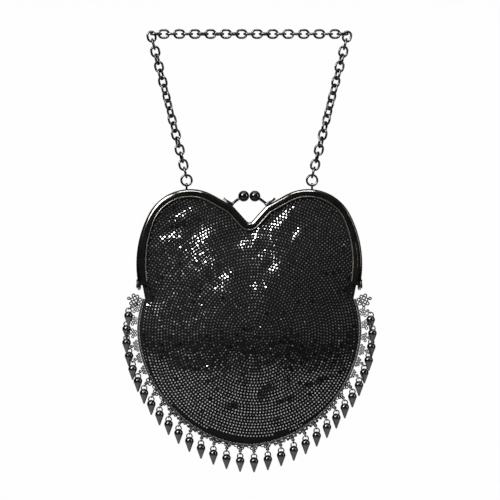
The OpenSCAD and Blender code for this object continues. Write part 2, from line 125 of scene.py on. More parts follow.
@dataclass(frozen=True)
class FramePlan:
    """Sizes of the heart-shaped frame in millimetres; heights are above the hinge axis."""

    lobe_radius: float = 37.6
    lobe_x: float = 47.2
    lobe_height: float = 40.0
    side_drop: float = 22.4
    side_bulge: float = 5.5
    inner_bulge: float = 4.0
    notch_radius: float = 3.0
    notch_depth: float = 26.6
    notch_slope: float = 48.0
    shoulder_slope: float = 29.0
    shoulder_radius: float = 9.5
    face_width: float = 6.5
    half_depth: float = 4.6
    wall: float = 0.8
    halves_gap: float = 0.3
    start: float = 4.0

    def side_turn(self, inset: float) -> float:
        """Angle at which the side curve meets the lobe, for a line drawn in by an inset."""
        bulge = self.side_bulge + (self.inner_bulge - self.side_bulge) * inset / self.face_width
        return 2 * math.degrees(math.atan(bulge / self.side_drop))

    def side_radius(self, inset: float) -> float:
        """Radius of the gently bulging side."""
        return self.lobe_radius + self.side_drop / sin(self.side_turn(inset)) - inset

    def side_centre(self, inset: float) -> Point:
        """Centre of the side curve."""
        x = self.lobe_x - self.side_drop / tan(self.side_turn(inset))
        return x, self.lobe_height - self.side_drop

    @property
    def notch_level(self) -> float:
        """Height of the bottom of the notch."""
        return self.lobe_height + self.lobe_radius - self.notch_depth

    @property
    def shoulder_centre(self) -> Point:
        """Centre of the bend between a lobe's straight shoulder and the notch's side."""
        slopes = (self.shoulder_slope, self.notch_slope)
        normals = np.array([[-sin(t), cos(t)] for t in slopes])
        lobe = normals[0] @ (self.lobe_x, self.lobe_height) + self.lobe_radius - self.shoulder_radius
        notch = normals[1] @ (0.0, self.notch_level + self.notch_radius)
        notch = notch - self.notch_radius - self.shoulder_radius
        x, y = np.linalg.solve(normals, (lobe, notch))
        return float(x), float(y)

    @property
    def ear_x(self) -> float:
        """Half the frame's width at the level where its channels start."""
        x, y = self.side_centre(0)
        return x + math.sqrt(self.side_radius(0)**2 - (self.start - y) ** 2)

    def half(self, inset: float, side: int, lobe: int, notch: int) -> list[Point]:
        """Right half of the outline, from the hinge up over the lobe to the notch.

        Args:
            inset: how far the line is drawn in from the outer edge.
            side: chords along the side curve.
            lobe: chords along the lobe.
            notch: chords along the notch's bottom.

        Returns:
            Points from the hinge to the middle line.
        """
        cx, cy = self.side_centre(inset)
        radius, turn = self.side_radius(inset), self.side_turn(inset)
        first = math.degrees(math.asin((self.start - cy) / radius))
        points = _arc((cx, cy), radius, first, turn, side)
        points += _arc((self.lobe_x, self.lobe_height), self.lobe_radius - inset,
                       turn + 90 / lobe, 90 + self.shoulder_slope, lobe)
        points += _arc(self.shoulder_centre, self.shoulder_radius - inset, 90 + self.shoulder_slope,
                       90 + self.notch_slope, max(2, notch // 2))
        points += _arc((0.0, self.notch_level + self.notch_radius), self.notch_radius + inset,
                       self.notch_slope - 90, -90, notch)
        return points

    def arch(self, inset: float, side: int = 12, lobe: int = 84, notch: int = 14) -> list[Point]:
        """Whole outline at an inset, from the right hinge to the left one."""
        right = self.half(inset, side, lobe, notch)
        return right + [(-x, y) for x, y in reversed(right[:-1])]


class Lean(NamedTuple):
    """An oval spot where the cloth leans; place and half axes in millimetres, turn and slopes in degrees."""

    x: float
    y: float
    length: float
    width: float
    turn: float
    lean_x: float = 0.0
    lean_y: float = 0.0


@dataclass(frozen=True)
class PouchPlan:
    """Sizes of the pouch in millimetres, in the plane of the frame."""

    frame: FramePlan = field(default_factory=FramePlan)
    half_width: float = 88.0
    middle: float = -35.2
    drop: float = 91.2
    roundness: float = 1.85
    fullness: float = 16.0
    cloth: float = 0.8
    gap: float = 0.3
    cloth_inset: float = 2.6
    lower_reach: float = 107.0
    glints: tuple[Lean, ...] = tuple(Lean(*spot) for spot in (
        (-55.4, 58.0, 15.0, 6.5, 15.0), (-61.8, 41.0, 15.0, 6.5, 25.0), (-35.4, 42.1, 12.0, 5.5, 14.0),
        (-19.4, 6.9, 20.0, 6.5, 28.0), (-5.0, 33.5, 11.0, 6.0, 5.0), (21.4, 15.7, 12.0, 6.5, 30.0),
        (28.0, 58.0, 14.0, 6.0, 38.0), (37.4, 42.1, 8.0, 5.5, 30.0)))
    leans: tuple[Lean, ...] = tuple(Lean(*spot) for spot in (
        (-11.4, -95.1, 13.0, 5.5, -5.0, 0.0, 12.0), (11.8, -84.7, 11.0, 5.5, 60.0, -8.0, 10.0),
        (22.0, -106.3, 8.0, 4.0, 20.0, 0.0, 12.0), (1.4, -103.1, 9.0, 4.0, -10.0, 0.0, 11.0),
        (27.8, -90.3, 10.0, 4.0, 15.0, -4.0, 10.0), (-47.4, -62.3, 14.0, 8.0, -15.0, 0.0, 6.0),
        (-32.2, -75.9, 7.0, 3.5, 30.0, 0.0, 7.0), (55.0, -75.1, 12.0, 4.0, 15.0, -4.0, 6.0),
        (-71.4, -60.7, 8.0, 5.0, -60.0, 0.0, -5.0)))

    def oval(self, angle: float, grow: float = 0.0) -> Point:
        """Point of the seam's outline at an angle from straight down."""
        a, b = (self.half_width + grow), (self.drop + grow)
        n = self.roundness
        radius = ((abs(sin(angle)) / a) ** n + (abs(cos(angle)) / b) ** n) ** (-1 / n)
        return radius * sin(angle), self.middle - radius * cos(angle)

    def outline(self) -> np.ndarray:
        """Closed outline of the cloth, counter-clockwise from its lowest point."""
        lower = [self.oval(self.lower_reach * k / 52) for k in range(53)]
        right = lower + self.frame.half(self.cloth_inset, 8, 48, 8)
        left = [(-x, y) for x, y in reversed(right[1:-1])]
        return np.array(right + left)

    def grip(self, y: np.ndarray) -> np.ndarray:
        """1 where a rim point is held in the frame, 0 along the seam."""
        return np.clip((y - self.middle / 2) / (-self.middle / 2), 0, 1)

    def depth(self, x: np.ndarray, y: np.ndarray) -> tuple[np.ndarray, np.ndarray]:
        """Distance of the cloth's outside from the middle plane.

        Args:
            x: places across, in millimetres.
            y: heights above the hinges.

        Returns:
            The depth at each place, and the distance in from the rim along the line to the middle.
        """
        rim = self.outline()
        rim_angle = np.arctan2(rim[:, 0], -(rim[:, 1] - self.middle))
        rim_radius = np.hypot(rim[:, 0], rim[:, 1] - self.middle)
        away = np.hypot(x, y - self.middle)
        angle = np.arctan2(x, -(y - self.middle))
        reach = np.interp(angle, rim_angle, rim_radius, period=2 * np.pi)
        inward = np.maximum(0, reach - away)
        inner = np.clip(inward / 20, 0, 1)
        inner = inner * inner * (3 - 2 * inner)
        rim_grip = self.grip(rim[:, 1])
        grip = np.interp(angle, rim_angle, rim_grip, period=2 * np.pi)
        grip = grip + (self.spread(angle, rim_angle, rim_grip, 56) - grip) * inner
        reach = reach + (self.spread(angle, rim_angle, rim_radius, 28) - reach) * inner
        rim_depth = self.frame.half_depth - 2 * self.frame.wall
        edge = (self.cloth + self.gap / 2) * (1 - grip) + rim_depth * grip
        held = grip * self.frame.face_width
        free = np.clip((reach - away - held) / (reach - held), 0, 1)
        rise = np.sin(np.pi / 2 * free) ** (0.8 + 0.7 * grip)
        return edge + (self.fullness - edge) * rise + self.folds(x, y, free), inward

    def slopes(self, x: np.ndarray, y: np.ndarray, step: float = 0.4) -> tuple[np.ndarray, np.ndarray]:
        """Slopes of the cloth's outside, across and upwards, read over a small step in millimetres."""
        right, left, above, below = (self.depth(x + dx, y + dy)[0]
                                     for dx, dy in ((step, 0), (-step, 0), (0, step), (0, -step)))
        return (right - left) / (2 * step), (above - below) / (2 * step)

    @staticmethod
    def spread(angle: np.ndarray, rim_angle: np.ndarray, values: np.ndarray, width: int) -> np.ndarray:
        """Values of the rim seen from the middle, smoothed over neighbouring angles.

        Args:
            angle: angles to read, in radians.
            rim_angle: angle of each rim point.
            values: value of each rim point.
            width: reach of the smoothing in half degrees.

        Returns:
            One smoothed value for each angle.
        """
        even = np.radians(np.arange(0, 360, 0.5))
        bell = np.exp(-(np.arange(-2 * width, 2 * width + 1) / width) ** 2)
        turns = np.tile(np.interp(even, rim_angle, values, period=2 * np.pi), 3)
        soft = np.convolve(turns, bell / bell.sum(), "same")[len(even):2 * len(even)]
        return np.interp(angle, even, soft, period=2 * np.pi)

    def folds(self, x: np.ndarray, y: np.ndarray, free: np.ndarray) -> np.ndarray:
        """Upright folds low on the pouch, slack by the hinges, and the places where the cloth leans."""
        low = np.exp(-(((y + 92) / 22) ** 2) - (x / 46) ** 2)
        upright = 0.6 * low * np.sin(x * 0.42 + 0.03 * y) * np.cos(x * 0.09 + 0.4)
        slack = 0.22 * np.exp(-(((y + 6) / 26) ** 2)) * np.sin(np.abs(x) * 0.16 + y * 0.11)
        wander = 0.1 * np.sin(x * 0.105 + y * 0.047 + 1.9) * np.cos(y * 0.115 - x * 0.031 + 1.2)
        total = upright + slack + wander
        for spot in self.leans:
            right, up = x - spot.x, y - spot.y
            along = right * cos(spot.turn) + up * sin(spot.turn)
            aside = up * cos(spot.turn) - right * sin(spot.turn)
            shape = np.exp(-(along / spot.length) ** 2 - (aside / spot.width) ** 2)
            total -= shape * (right * tan(spot.lean_x) + up * tan(spot.lean_y))
        return total * np.sin(np.pi / 2 * np.clip(free * 5, 0, 1))


def _arc(centre: Point, radius: float, first: float, last: float, steps: int) -> list[Point]:
    """Points along an arc, in degrees, both ends included."""
    turns = [first + (last - first) * k / steps for k in range(steps + 1)]
    return [(centre[0] + radius * cos(t), centre[1] + radius * sin(t)) for t in turns]


class Place:
    """Turns points of the frame's plane into world points."""

    def __init__(self, hinge_z: float) -> None:
        """Keeps the height of the hinge axis, in metres."""
        self.hinge_z = hinge_z

    def at(self, x: float, y: float, depth: float) -> Vector:
        """World point for a place in millimetres, with depth towards the viewer."""
        return Vector((x * MM, -depth * MM, self.hinge_z + y * MM))

    def many(self, points: np.ndarray) -> np.ndarray:
        """World points for an array of places in millimetres."""
        return np.column_stack([points[:, 0] * MM, -points[:, 2] * MM, self.hinge_z + points[:, 1] * MM])

    def rows(self, rows: Iterable[Iterable[Sequence[float]]], across: int = 1,
             outward: int = 1) -> np.ndarray:
        """World points for rows of (x, height, depth), mirrored by the signs.

        Args:
            rows: places in millimetres.
            across: -1 to mirror left to right.
            outward: -1 to mirror front to back.

        Returns:
            Array of rows by columns by 3.
        """
        return np.array([[self.at(across * x, y, outward * z) for x, y, z in row] for row in rows])


def _axes(first: Vector, second: Vector, third: Vector, origin: Vector) -> Matrix:
    """Matrix whose X, Y and Z axes are the given ones, moved to a point."""
    matrix = Matrix((first, second, third)).transposed().to_4x4()
    matrix.translation = origin
    return matrix


def _unit(vectors: np.ndarray) -> np.ndarray:
    """Rows of an array, each brought to length 1."""
    return vectors / np.linalg.norm(vectors, axis=1)[:, None]


def _round(sides: int) -> np.ndarray:
    """Even angles once round, in radians."""
    return np.linspace(0, 2 * np.pi, sides, endpoint=False)


@dataclass(frozen=True)
class Mirroring:
    """How the cloth has to lean for a spot's studs to mirror a lamp to the camera."""

    lamp: np.ndarray
    eye: np.ndarray
    place: Place
    trial: float = 5.0

    def wanted(self, plan: PouchPlan, x: float, y: float) -> np.ndarray:
        """Slopes across and upwards at which a place mirrors the lamp to the camera."""
        depth = float(plan.depth(np.array([x]), np.array([y]))[0][0])
        here = np.array(self.place.at(x, y, depth))
        normal = _unit(np.array([self.lamp - here, self.eye - here])).sum(axis=0)
        return normal[[0, 2]] / normal[1]

    def leans(self, plain: PouchPlan) -> tuple[Lean, ...]:
        """Works out the slopes of the glinting spots, all together as they act on each other.

        Args:
            plain: the pouch without leans.

        Returns:
            The plan's glinting spots with their slopes, to a tenth of a degree.
        """
        spots = plain.glints
        x, y = np.array([spot.x for spot in spots]), np.array([spot.y for spot in spots])
        rest = np.column_stack(plain.slopes(x, y)).ravel()
        needed = np.ravel([self.wanted(plain, *at) for at in zip(x, y)]) - rest
        effects = []
        for spot in spots:
            for key in ("lean_x", "lean_y"):
                tried = replace(plain, leans=(spot._replace(**{key: self.trial}),))
                effects.append((np.column_stack(tried.slopes(x, y)).ravel() - rest) / tan(self.trial))
        found = np.degrees(np.arctan(np.linalg.solve(np.array(effects).T, needed))).round(1).tolist()
        return tuple(spot._replace(lean_x=found[2 * k], lean_y=found[2 * k + 1])
                     for k, spot in enumerate(spots))


def _falloff(tree: bpy.types.NodeTree, coords: bpy.types.NodeSocket, deep: Step,
             aside: Step) -> bpy.types.NodeSocket:
    """Product of two smooth steps.

    Args:
        tree: node tree to build in.
        coords: coordinates read.
        deep: step along Y.
        aside: step along the distance from the middle in X.

    Returns:
        Socket that gives the product.
    """
    split = tree.nodes.new("ShaderNodeSeparateXYZ")
    tree.links.new(coords, split.inputs[0])
    distance = tree.nodes.new("ShaderNodeMath")
    distance.operation = "ABSOLUTE"
    tree.links.new(split.outputs["X"], distance.inputs[0])
    product = tree.nodes.new("ShaderNodeMath")
    product.operation = "MULTIPLY"
    for target, source, (span, values) in ((product.inputs[0], split.outputs["Y"], deep),
                                           (product.inputs[1], distance.outputs[0], aside)):
        step = tree.nodes.new("ShaderNodeMapRange")
        step.interpolation_type = "SMOOTHSTEP"
        step.inputs["From Min"].default_value, step.inputs["From Max"].default_value = span
        step.inputs["To Min"].default_value, step.inputs["To Max"].default_value = values
        tree.links.new(source, step.inputs["Value"])
        tree.links.new(step.outputs["Result"], target)
    return product.outputs["Value"]


class Tree:
    """Small helper for building one material's nodes."""

    def __init__(self, name: str) -> None:
        """Starts a material with a Principled BSDF joined to its output."""
        self.material = bpy.data.materials.new(name)
        self.material.use_nodes = True
        self.nodes = self.material.node_tree.nodes
        self.links = self.material.node_tree.links
        self.shader = self.nodes["Principled BSDF"]
        self.coords = self.nodes.new("ShaderNodeTexCoord")

    def set(self, **values: Any) -> "Tree":
        """Sets shader sockets by name, with underscores for spaces."""
        for key, value in values.items():
            self.shader.inputs[key.replace("_", " ")].default_value = value
        return self

    def node(self, kind: str, **values: Any) -> bpy.types.Node:
        """Adds a node and sets its inputs, named with underscores for spaces, or its properties."""
        made = self.nodes.new(kind)
        for key, value in values.items():
            socket = made.inputs.get(key.replace("_", " "))
            if socket is None:
                setattr(made, key, value)
            else:
                socket.default_value = value
        return made

    def join(self, source: bpy.types.NodeSocket, node: bpy.types.Node, socket: str) -> None:
        """Links a socket to a named input."""
        self.links.new(source, node.inputs[socket])

    def noise(self, scale: float, detail: float = 3.0, roughness: float = 0.5) -> bpy.types.NodeSocket:
        """Noise in object coordinates; scale is in cycles per metre."""
        made = self.node("ShaderNodeTexNoise", Scale=scale, Detail=detail, Roughness=roughness)
        self.join(self.coords.outputs["Object"], made, "Vector")
        return made.outputs["Fac"]

    def ramp(self, source: bpy.types.NodeSocket, low: float, high: float) -> bpy.types.NodeSocket:
        """Maps 0..1 to low..high."""
        made = self.node("ShaderNodeMapRange", To_Min=low, To_Max=high)
        self.join(source, made, "Value")
        return made.outputs["Result"]

    def blend(self, source: bpy.types.NodeSocket, first: Sequence[float], second: Sequence[float]) -> None:
        """Drives the base colour between two colours."""
        made = self.node("ShaderNodeMix", data_type="RGBA")
        made.inputs[6].default_value = (*first, 1)
        made.inputs[7].default_value = (*second, 1)
        self.join(source, made, "Factor")
        self.join(made.outputs[2], self.shader, "Base Color")

    def bump(self, source: bpy.types.NodeSocket, strength: float, distance: float,
             after: bpy.types.Node | None = None) -> bpy.types.Node:
        """Adds a bump, on top of an earlier one if given."""
        made = self.node("ShaderNodeBump", Strength=strength, Distance=distance)
        self.join(source, made, "Height")
        if after is not None:
            self.join(after.outputs["Normal"], made, "Normal")
        self.join(made.outputs["Normal"], self.shader, "Normal")
        return made


class Finish(ABC):
    """A surface finish, built once as a node material."""

    _made: dict[str, bpy.types.Material] = {}
    name: str

    @abstractmethod
    def build(self) -> bpy.types.Material:
        """Builds the node material."""

    def material(self) -> bpy.types.Material:
        """The finish's material, built on first use."""
        if self.name not in Finish._made:
            Finish._made[self.name] = self.build()
        return Finish._made[self.name]

    def dress(self, *objects: bpy.types.Object) -> None:
        """Gives the objects this finish alone."""
        for item in objects:
            item.data.materials.clear()
            item.data.materials.append(self.material())


@dataclass(frozen=True)
class Plating(Finish):
    """Glossy dark plating with faint handling marks and a little colour drift."""

    name: str
    colour: tuple[float, float, float] = (0.115, 0.115, 0.12)
    worn: tuple[float, float, float] = (0.19, 0.19, 0.2)
    smooth: float = 0.07
    rough: float = 0.17
    dents: float = 1.0

    def build(self) -> bpy.types.Material:
        """Metal whose roughness follows smears and whose colour lifts in worn places."""
        tree = Tree(self.name).set(Metallic=1.0, Specular_IOR_Level=0.6)
        smears = tree.noise(55, 4, 0.62)
        tree.join(tree.ramp(smears, self.smooth, self.rough), tree.shader, "Roughness")
        patches = tree.node("ShaderNodeMapRange", From_Min=0.42, From_Max=0.72)
        tree.join(tree.noise(140, 5, 0.6), patches, "Value")
        tree.blend(patches.outputs["Result"], self.colour, self.worn)
        first = tree.bump(tree.noise(420, 3), 0.05 * self.dents, 0.0004)
        tree.bump(tree.noise(2600, 2), 0.04 * self.dents, 0.0001, first)
        return tree.material


@dataclass(frozen=True)
class MirrorStud(Finish):
    """Small mirror-like studs, each a slightly different shade through the mesh's own attribute."""

    name: str = "mirror_stud"
    dark: tuple[float, float, float] = (0.2, 0.2, 0.205)
    light: tuple[float, float, float] = (0.5, 0.5, 0.515)

    def build(self) -> bpy.types.Material:
        """Metal with a shade and a roughness for each stud."""
        tree = Tree(self.name).set(Metallic=1.0)
        shade = tree.node("ShaderNodeAttribute", attribute_name="shade")
        tree.blend(shade.outputs["Fac"], self.dark, self.light)
        smear = tree.noise(900, 2)
        mixed = tree.node("ShaderNodeMath", operation="MULTIPLY")
        tree.join(smear, mixed, "Value")
        tree.links.new(shade.outputs["Fac"], mixed.inputs[1])
        tree.join(tree.ramp(mixed.outputs["Value"], 0.08, 0.34), tree.shader, "Roughness")
        return tree.material


@dataclass(frozen=True)
class Weave(Finish):
    """Woven cloth: two crossed sets of threads, with sheen and uneven dye."""

    name: str
    colour: tuple[float, float, float] = (0.0012, 0.0012, 0.0013)
    faded: tuple[float, float, float] = (0.0035, 0.0035, 0.0038)
    threads: float = 1500.0
    gloss: float = 0.62
    sheen: float = 0.01

    def build(self) -> bpy.types.Material:
        """Cloth with thread bump and mottled colour."""
        tree = Tree(self.name).set(Specular_IOR_Level=0.04, Sheen_Weight=self.sheen, Sheen_Roughness=0.4)
        tree.blend(tree.noise(90, 5, 0.6), self.colour, self.faded)
        heights = []
        for axis in ("X", "Z"):
            wave = tree.node("ShaderNodeTexWave", wave_type="BANDS", bands_direction=axis,
                             Scale=self.threads / 6.3, Distortion=0.6, Detail=1.0)
            tree.join(tree.coords.outputs["Object"], wave, "Vector")
            heights.append(wave.outputs["Fac"])
        both = tree.node("ShaderNodeMath", operation="MULTIPLY")
        tree.links.new(heights[0], both.inputs[0])
        tree.links.new(heights[1], both.inputs[1])
        tree.join(tree.ramp(both.outputs["Value"], self.gloss + 0.12, self.gloss), tree.shader, "Roughness")
        first = tree.bump(both.outputs["Value"], 0.5, 0.0002)
        tree.bump(tree.noise(160, 4), 0.35, 0.0008, first)
        return tree.material


@dataclass(frozen=True)
class Fibre(Finish):
    """Yarn of a twisted cord, whose strands are in the mesh: fine fibres and uneven dye."""

    name: str
    colour: tuple[float, float, float] = (0.01, 0.01, 0.011)
    faded: tuple[float, float, float] = (0.035, 0.035, 0.038)

    def build(self) -> bpy.types.Material:
        """Soft yarn with fibre bump."""
        tree = Tree(self.name).set(Specular_IOR_Level=0.25, Sheen_Weight=0.08)
        tree.blend(tree.noise(300, 4, 0.6), self.colour, self.faded)
        tree.join(tree.ramp(tree.noise(700, 3), 0.42, 0.62), tree.shader, "Roughness")
        first = tree.bump(tree.noise(5200, 3), 0.4, 0.0001)
        tree.bump(tree.noise(900, 3), 0.2, 0.0002, first)
        return tree.material


@dataclass(frozen=True)
class Studio(Finish):
    """The plain pale sweep behind and under the bag."""

    name: str = "studio_sweep_painted_floor_shade"
    colour: tuple[float, float, float] = (0.26, 0.26, 0.26)
    # Painted shade: the floor's colour near the viewer and far out to the sides.
    dark: tuple[float, float, float] = (0.015, 0.015, 0.015)
    seen: float = 0.985

    def build(self) -> bpy.types.Material:
        """Paper that the camera sees evenly white, with painted shade on the floor near the viewer for all
        else.
        """
        tree = Tree(self.name).set(Roughness=0.9, Specular_IOR_Level=0.0)
        # Painted shade: the floor fades to dark near the viewer and far out to the sides.
        near = _falloff(tree.material.node_tree, tree.coords.outputs["Object"],
                        ((-1.12, -0.27), (0, 1)), ((0.5, 1.5), (1, 0)))
        tree.blend(near, self.dark, self.colour)
        glow = tree.node("ShaderNodeEmission", Color=(1, 1, 1, 1), Strength=1.0)
        seen = tree.node("ShaderNodeLightPath")
        part = tree.node("ShaderNodeMath", operation="MULTIPLY")
        part.inputs[1].default_value = self.seen
        tree.links.new(seen.outputs["Is Camera Ray"], part.inputs[0])
        mix = tree.node("ShaderNodeMixShader")
        tree.links.new(part.outputs["Value"], mix.inputs[0])
        tree.links.new(tree.shader.outputs["BSDF"], mix.inputs[1])
        tree.links.new(glow.outputs["Emission"], mix.inputs[2])
        tree.links.new(mix.outputs["Shader"], tree.nodes["Material Output"].inputs["Surface"])
        return tree.material


PLATED = Plating("black_plating", (0.036, 0.034, 0.032), (0.06, 0.057, 0.054), 0.07, 0.15)
# Painted highlight: lighter, beige metal on the crown of the frame's inner bead, for its light line.
BEAD_HIGHLIGHT_METAL = Plating("bead_painted_highlight", (0.12, 0.114, 0.104), (0.19, 0.18, 0.165), 0.24, 0.36)
CHAIN_METAL = Plating("chain_plating", (0.034, 0.034, 0.035), (0.065, 0.065, 0.067), 0.06, 0.15)
LACE_METAL = Plating("lace_plating", (0.012, 0.012, 0.012), (0.028, 0.028, 0.029), 0.08, 0.18)
# Spike cones: a lighter, rougher copy of the dome plating; the lighter colour is painted reflection of the
# pale surroundings.
CONE_REFLECTION_METAL = Plating("cone_painted_reflection", (0.085, 0.081, 0.077), (0.135, 0.129, 0.122), 0.26, 0.4)
DOME_METAL = Plating("dome_plating", (0.03, 0.03, 0.03), (0.045, 0.045, 0.046), 0.04, 0.08, 0.15)
BALL_METAL = Plating("ball_plating", (0.022, 0.022, 0.022), (0.034, 0.034, 0.035), 0.03, 0.06, 0.15)
STUDS = MirrorStud()
# Painted shade: near-black metal on the studs' side faces, far darker than their mirror tops.
STUD_SIDE_SHADE = Plating("stud_side_painted_shade", (0.0015, 0.0015, 0.0015), (0.003, 0.003, 0.003), 0.3, 0.45)
CLOTH = Weave("studded_ground")
SATIN = Weave("satin_lining", (0.016, 0.015, 0.016), (0.04, 0.038, 0.04), 3200.0, 0.34, 0.06)
CORD = Fibre("channel_yarn")
PIPING = Fibre("piping_yarn", (0.003, 0.003, 0.0032), (0.01, 0.01, 0.011))


class Shell:
    """A mesh under construction, in world metres."""

    def __init__(self) -> None:
        """Starts with no points."""
        self.points: list[np.ndarray] = []
        self.faces: list[tuple[int, ...]] = []
        self.count = 0

    def add(self, points: np.ndarray) -> int:
        """Adds points and returns the first one's index."""
        start = self.count
        self.points.append(np.asarray(points, float).reshape(-1, 3))
        self.count += len(self.points[-1])
        return start

    def grid(self, points: np.ndarray, close_rows: bool = False, close_columns: bool = False) -> int:
        """Adds a grid of quads.

        Args:
            points: array of rows by columns by 3.
            close_rows: joins the last row to the first.
            close_columns: joins the last column to the first.

        Returns:
            Index of the grid's first point.
        """
        rows, columns = points.shape[:2]
        start = self.add(points)
        for r in range(rows if close_rows else rows - 1):
            for c in range(columns if close_columns else columns - 1):
                a, b = start + r * columns + c, start + r * columns + (c + 1) % columns
                low = start + ((r + 1) % rows) * columns
                self.faces.append((a, b, low + (c + 1) % columns, low + c))
        return start

    def cap(self, indices: Iterable[int]) -> None:
        """Closes a loop of points with one face."""
        self.faces.append(tuple(indices))

    def solid(self, points: np.ndarray) -> None:
        """Adds a solid through rows of points, joined round each row and capped at both ends."""
        rows, sides = points.shape[:2]
        start = self.grid(points, close_columns=True)
        last = start + (rows - 1) * sides
        self.cap(range(start, start + sides))
        self.cap(reversed(range(last, last + sides)))

    def lathe(self, place: Place, centre: Sequence[float], profile: Sequence[Point], sides: int) -> None:
        """Adds an upright turned solid.

        Args:
            place: turns millimetres into world points.
            centre: its middle as (x, height, depth).
            profile: its outline as (radius, height above the middle), without points on the axis.
            sides: points round it.
        """
        x, y, z = centre
        turns = np.linspace(0, 360, sides, endpoint=False)
        self.solid(place.rows([[(x + radius * cos(t), y + height, z + radius * sin(t)) for t in turns]
                               for radius, height in profile]))

    def tube(self, path: np.ndarray, radius: float | np.ndarray, sides: int, closed: bool = False,
             across: np.ndarray | None = None, squash: float = 1.0,
             twist: np.ndarray | None = None) -> None:
        """Adds a tube along a path.

        Args:
            path: points in metres.
            radius: one radius, or one for each point of the path.
            sides: points round the tube.
            closed: joins the end to the start.
            across: direction that the section's first axis stays square to; world Y if left out.
            squash: the section's size along its second axis, as a share of the first.
            twist: radius factors of stations by sides, for strands.
        """
        path = np.asarray(path, float)
        count = len(path)
        ahead = np.roll(path, -1, 0) - np.roll(path, 1, 0)
        if not closed:
            ahead[0], ahead[-1] = path[1] - path[0], path[-1] - path[-2]
        ahead = _unit(ahead)
        first = _unit(np.cross(ahead, np.tile([0.0, 1.0, 0.0] if across is None else across, (count, 1))))
        second = np.cross(first, ahead)
        turn = _round(sides)
        size = np.broadcast_to(np.reshape(radius, (-1, 1)), (count, sides))
        size = size if twist is None else size * twist
        ring = (first[:, None, :] * (np.cos(turn)[None, :] * size)[:, :, None]
                + second[:, None, :] * (np.sin(turn)[None, :] * size * squash)[:, :, None])
        if closed:
            self.grid(path[:, None, :] + ring, close_rows=True, close_columns=True)
        else:
            self.solid(path[:, None, :] + ring)

    def oval(self, matrix: Matrix, wire: float, reach: float, bend: float, steps: int = 10,
             sides: int = 9) -> None:
        """Adds one oval link, long along the matrix's Z and open along its Y.

        Args:
            matrix: where it lies, in metres.
            wire: thickness of its wire in millimetres.
            reach: its length between the middles of its end wires.
            bend: radius of its bends, to the middle of the wire.
            steps: chords along each bend.
            sides: points round the wire.
        """
        straight = reach / 2 - bend
        turns = np.linspace(0, np.pi, steps + 1)
        upper = np.column_stack([bend * np.cos(turns), 0 * turns, straight + bend * np.sin(turns)])
        path = np.vstack([upper, -upper]) if straight > 1e-6 else np.vstack([upper[:-1], -upper[:-1]])
        turned = np.array(matrix)
        world = path * MM @ turned[:3, :3].T + turned[:3, 3]
        self.tube(world, wire / 2 * MM, sides, closed=True, across=turned[:3, 1])

    def piece(self, name: str, finish: Finish, smooth: bool = True,
              sharp: float | None = None) -> bpy.types.Object:
        """Makes the object.

        Args:
            name: object's name.
            finish: its material.
            smooth: shades faces smoothly.
            sharp: angle in degrees past which an edge stays sharp.

        Returns:
            The new object, at the origin.
        """
        mesh = bpy.data.meshes.new(name)
        mesh.from_pydata(np.vstack(self.points).tolist(), [], self.faces)
        work = bmesh.new()
        work.from_mesh(mesh)
        bmesh.ops.recalc_face_normals(work, faces=work.faces)
        for face in work.faces:
            face.smooth = smooth
        if sharp is not None:
            for edge in work.edges:
                edge.smooth = len(edge.link_faces) != 2 or edge.calc_face_angle(0.0) < math.radians(sharp)
        work.to_mesh(mesh)
        work.free()
        made = bpy.data.objects.new(name, mesh)
        bpy.context.scene.collection.objects.link(made)
        finish.dress(made)
        return made


@dataclass
class SubAssembly(ABC):
    """One group of pieces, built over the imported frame."""

    frame: dict[str, Any]
    place: Place

    @abstractmethod
    def build(self) -> list[bpy.types.Object]:
        """Builds the group's pieces."""

    def keep(self, finish: Finish, *nodes: str) -> None:
        """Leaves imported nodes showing, with a finish."""
        finish.dress(*(self.frame["nodes"][n] for n in nodes))

    @staticmethod
    def settle(piece: bpy.types.Object, body: str, slot: str, *nodes: str) -> bpy.types.Object:
        """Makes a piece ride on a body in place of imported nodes."""
        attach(piece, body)
        if nodes:
            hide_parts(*nodes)
        return piece


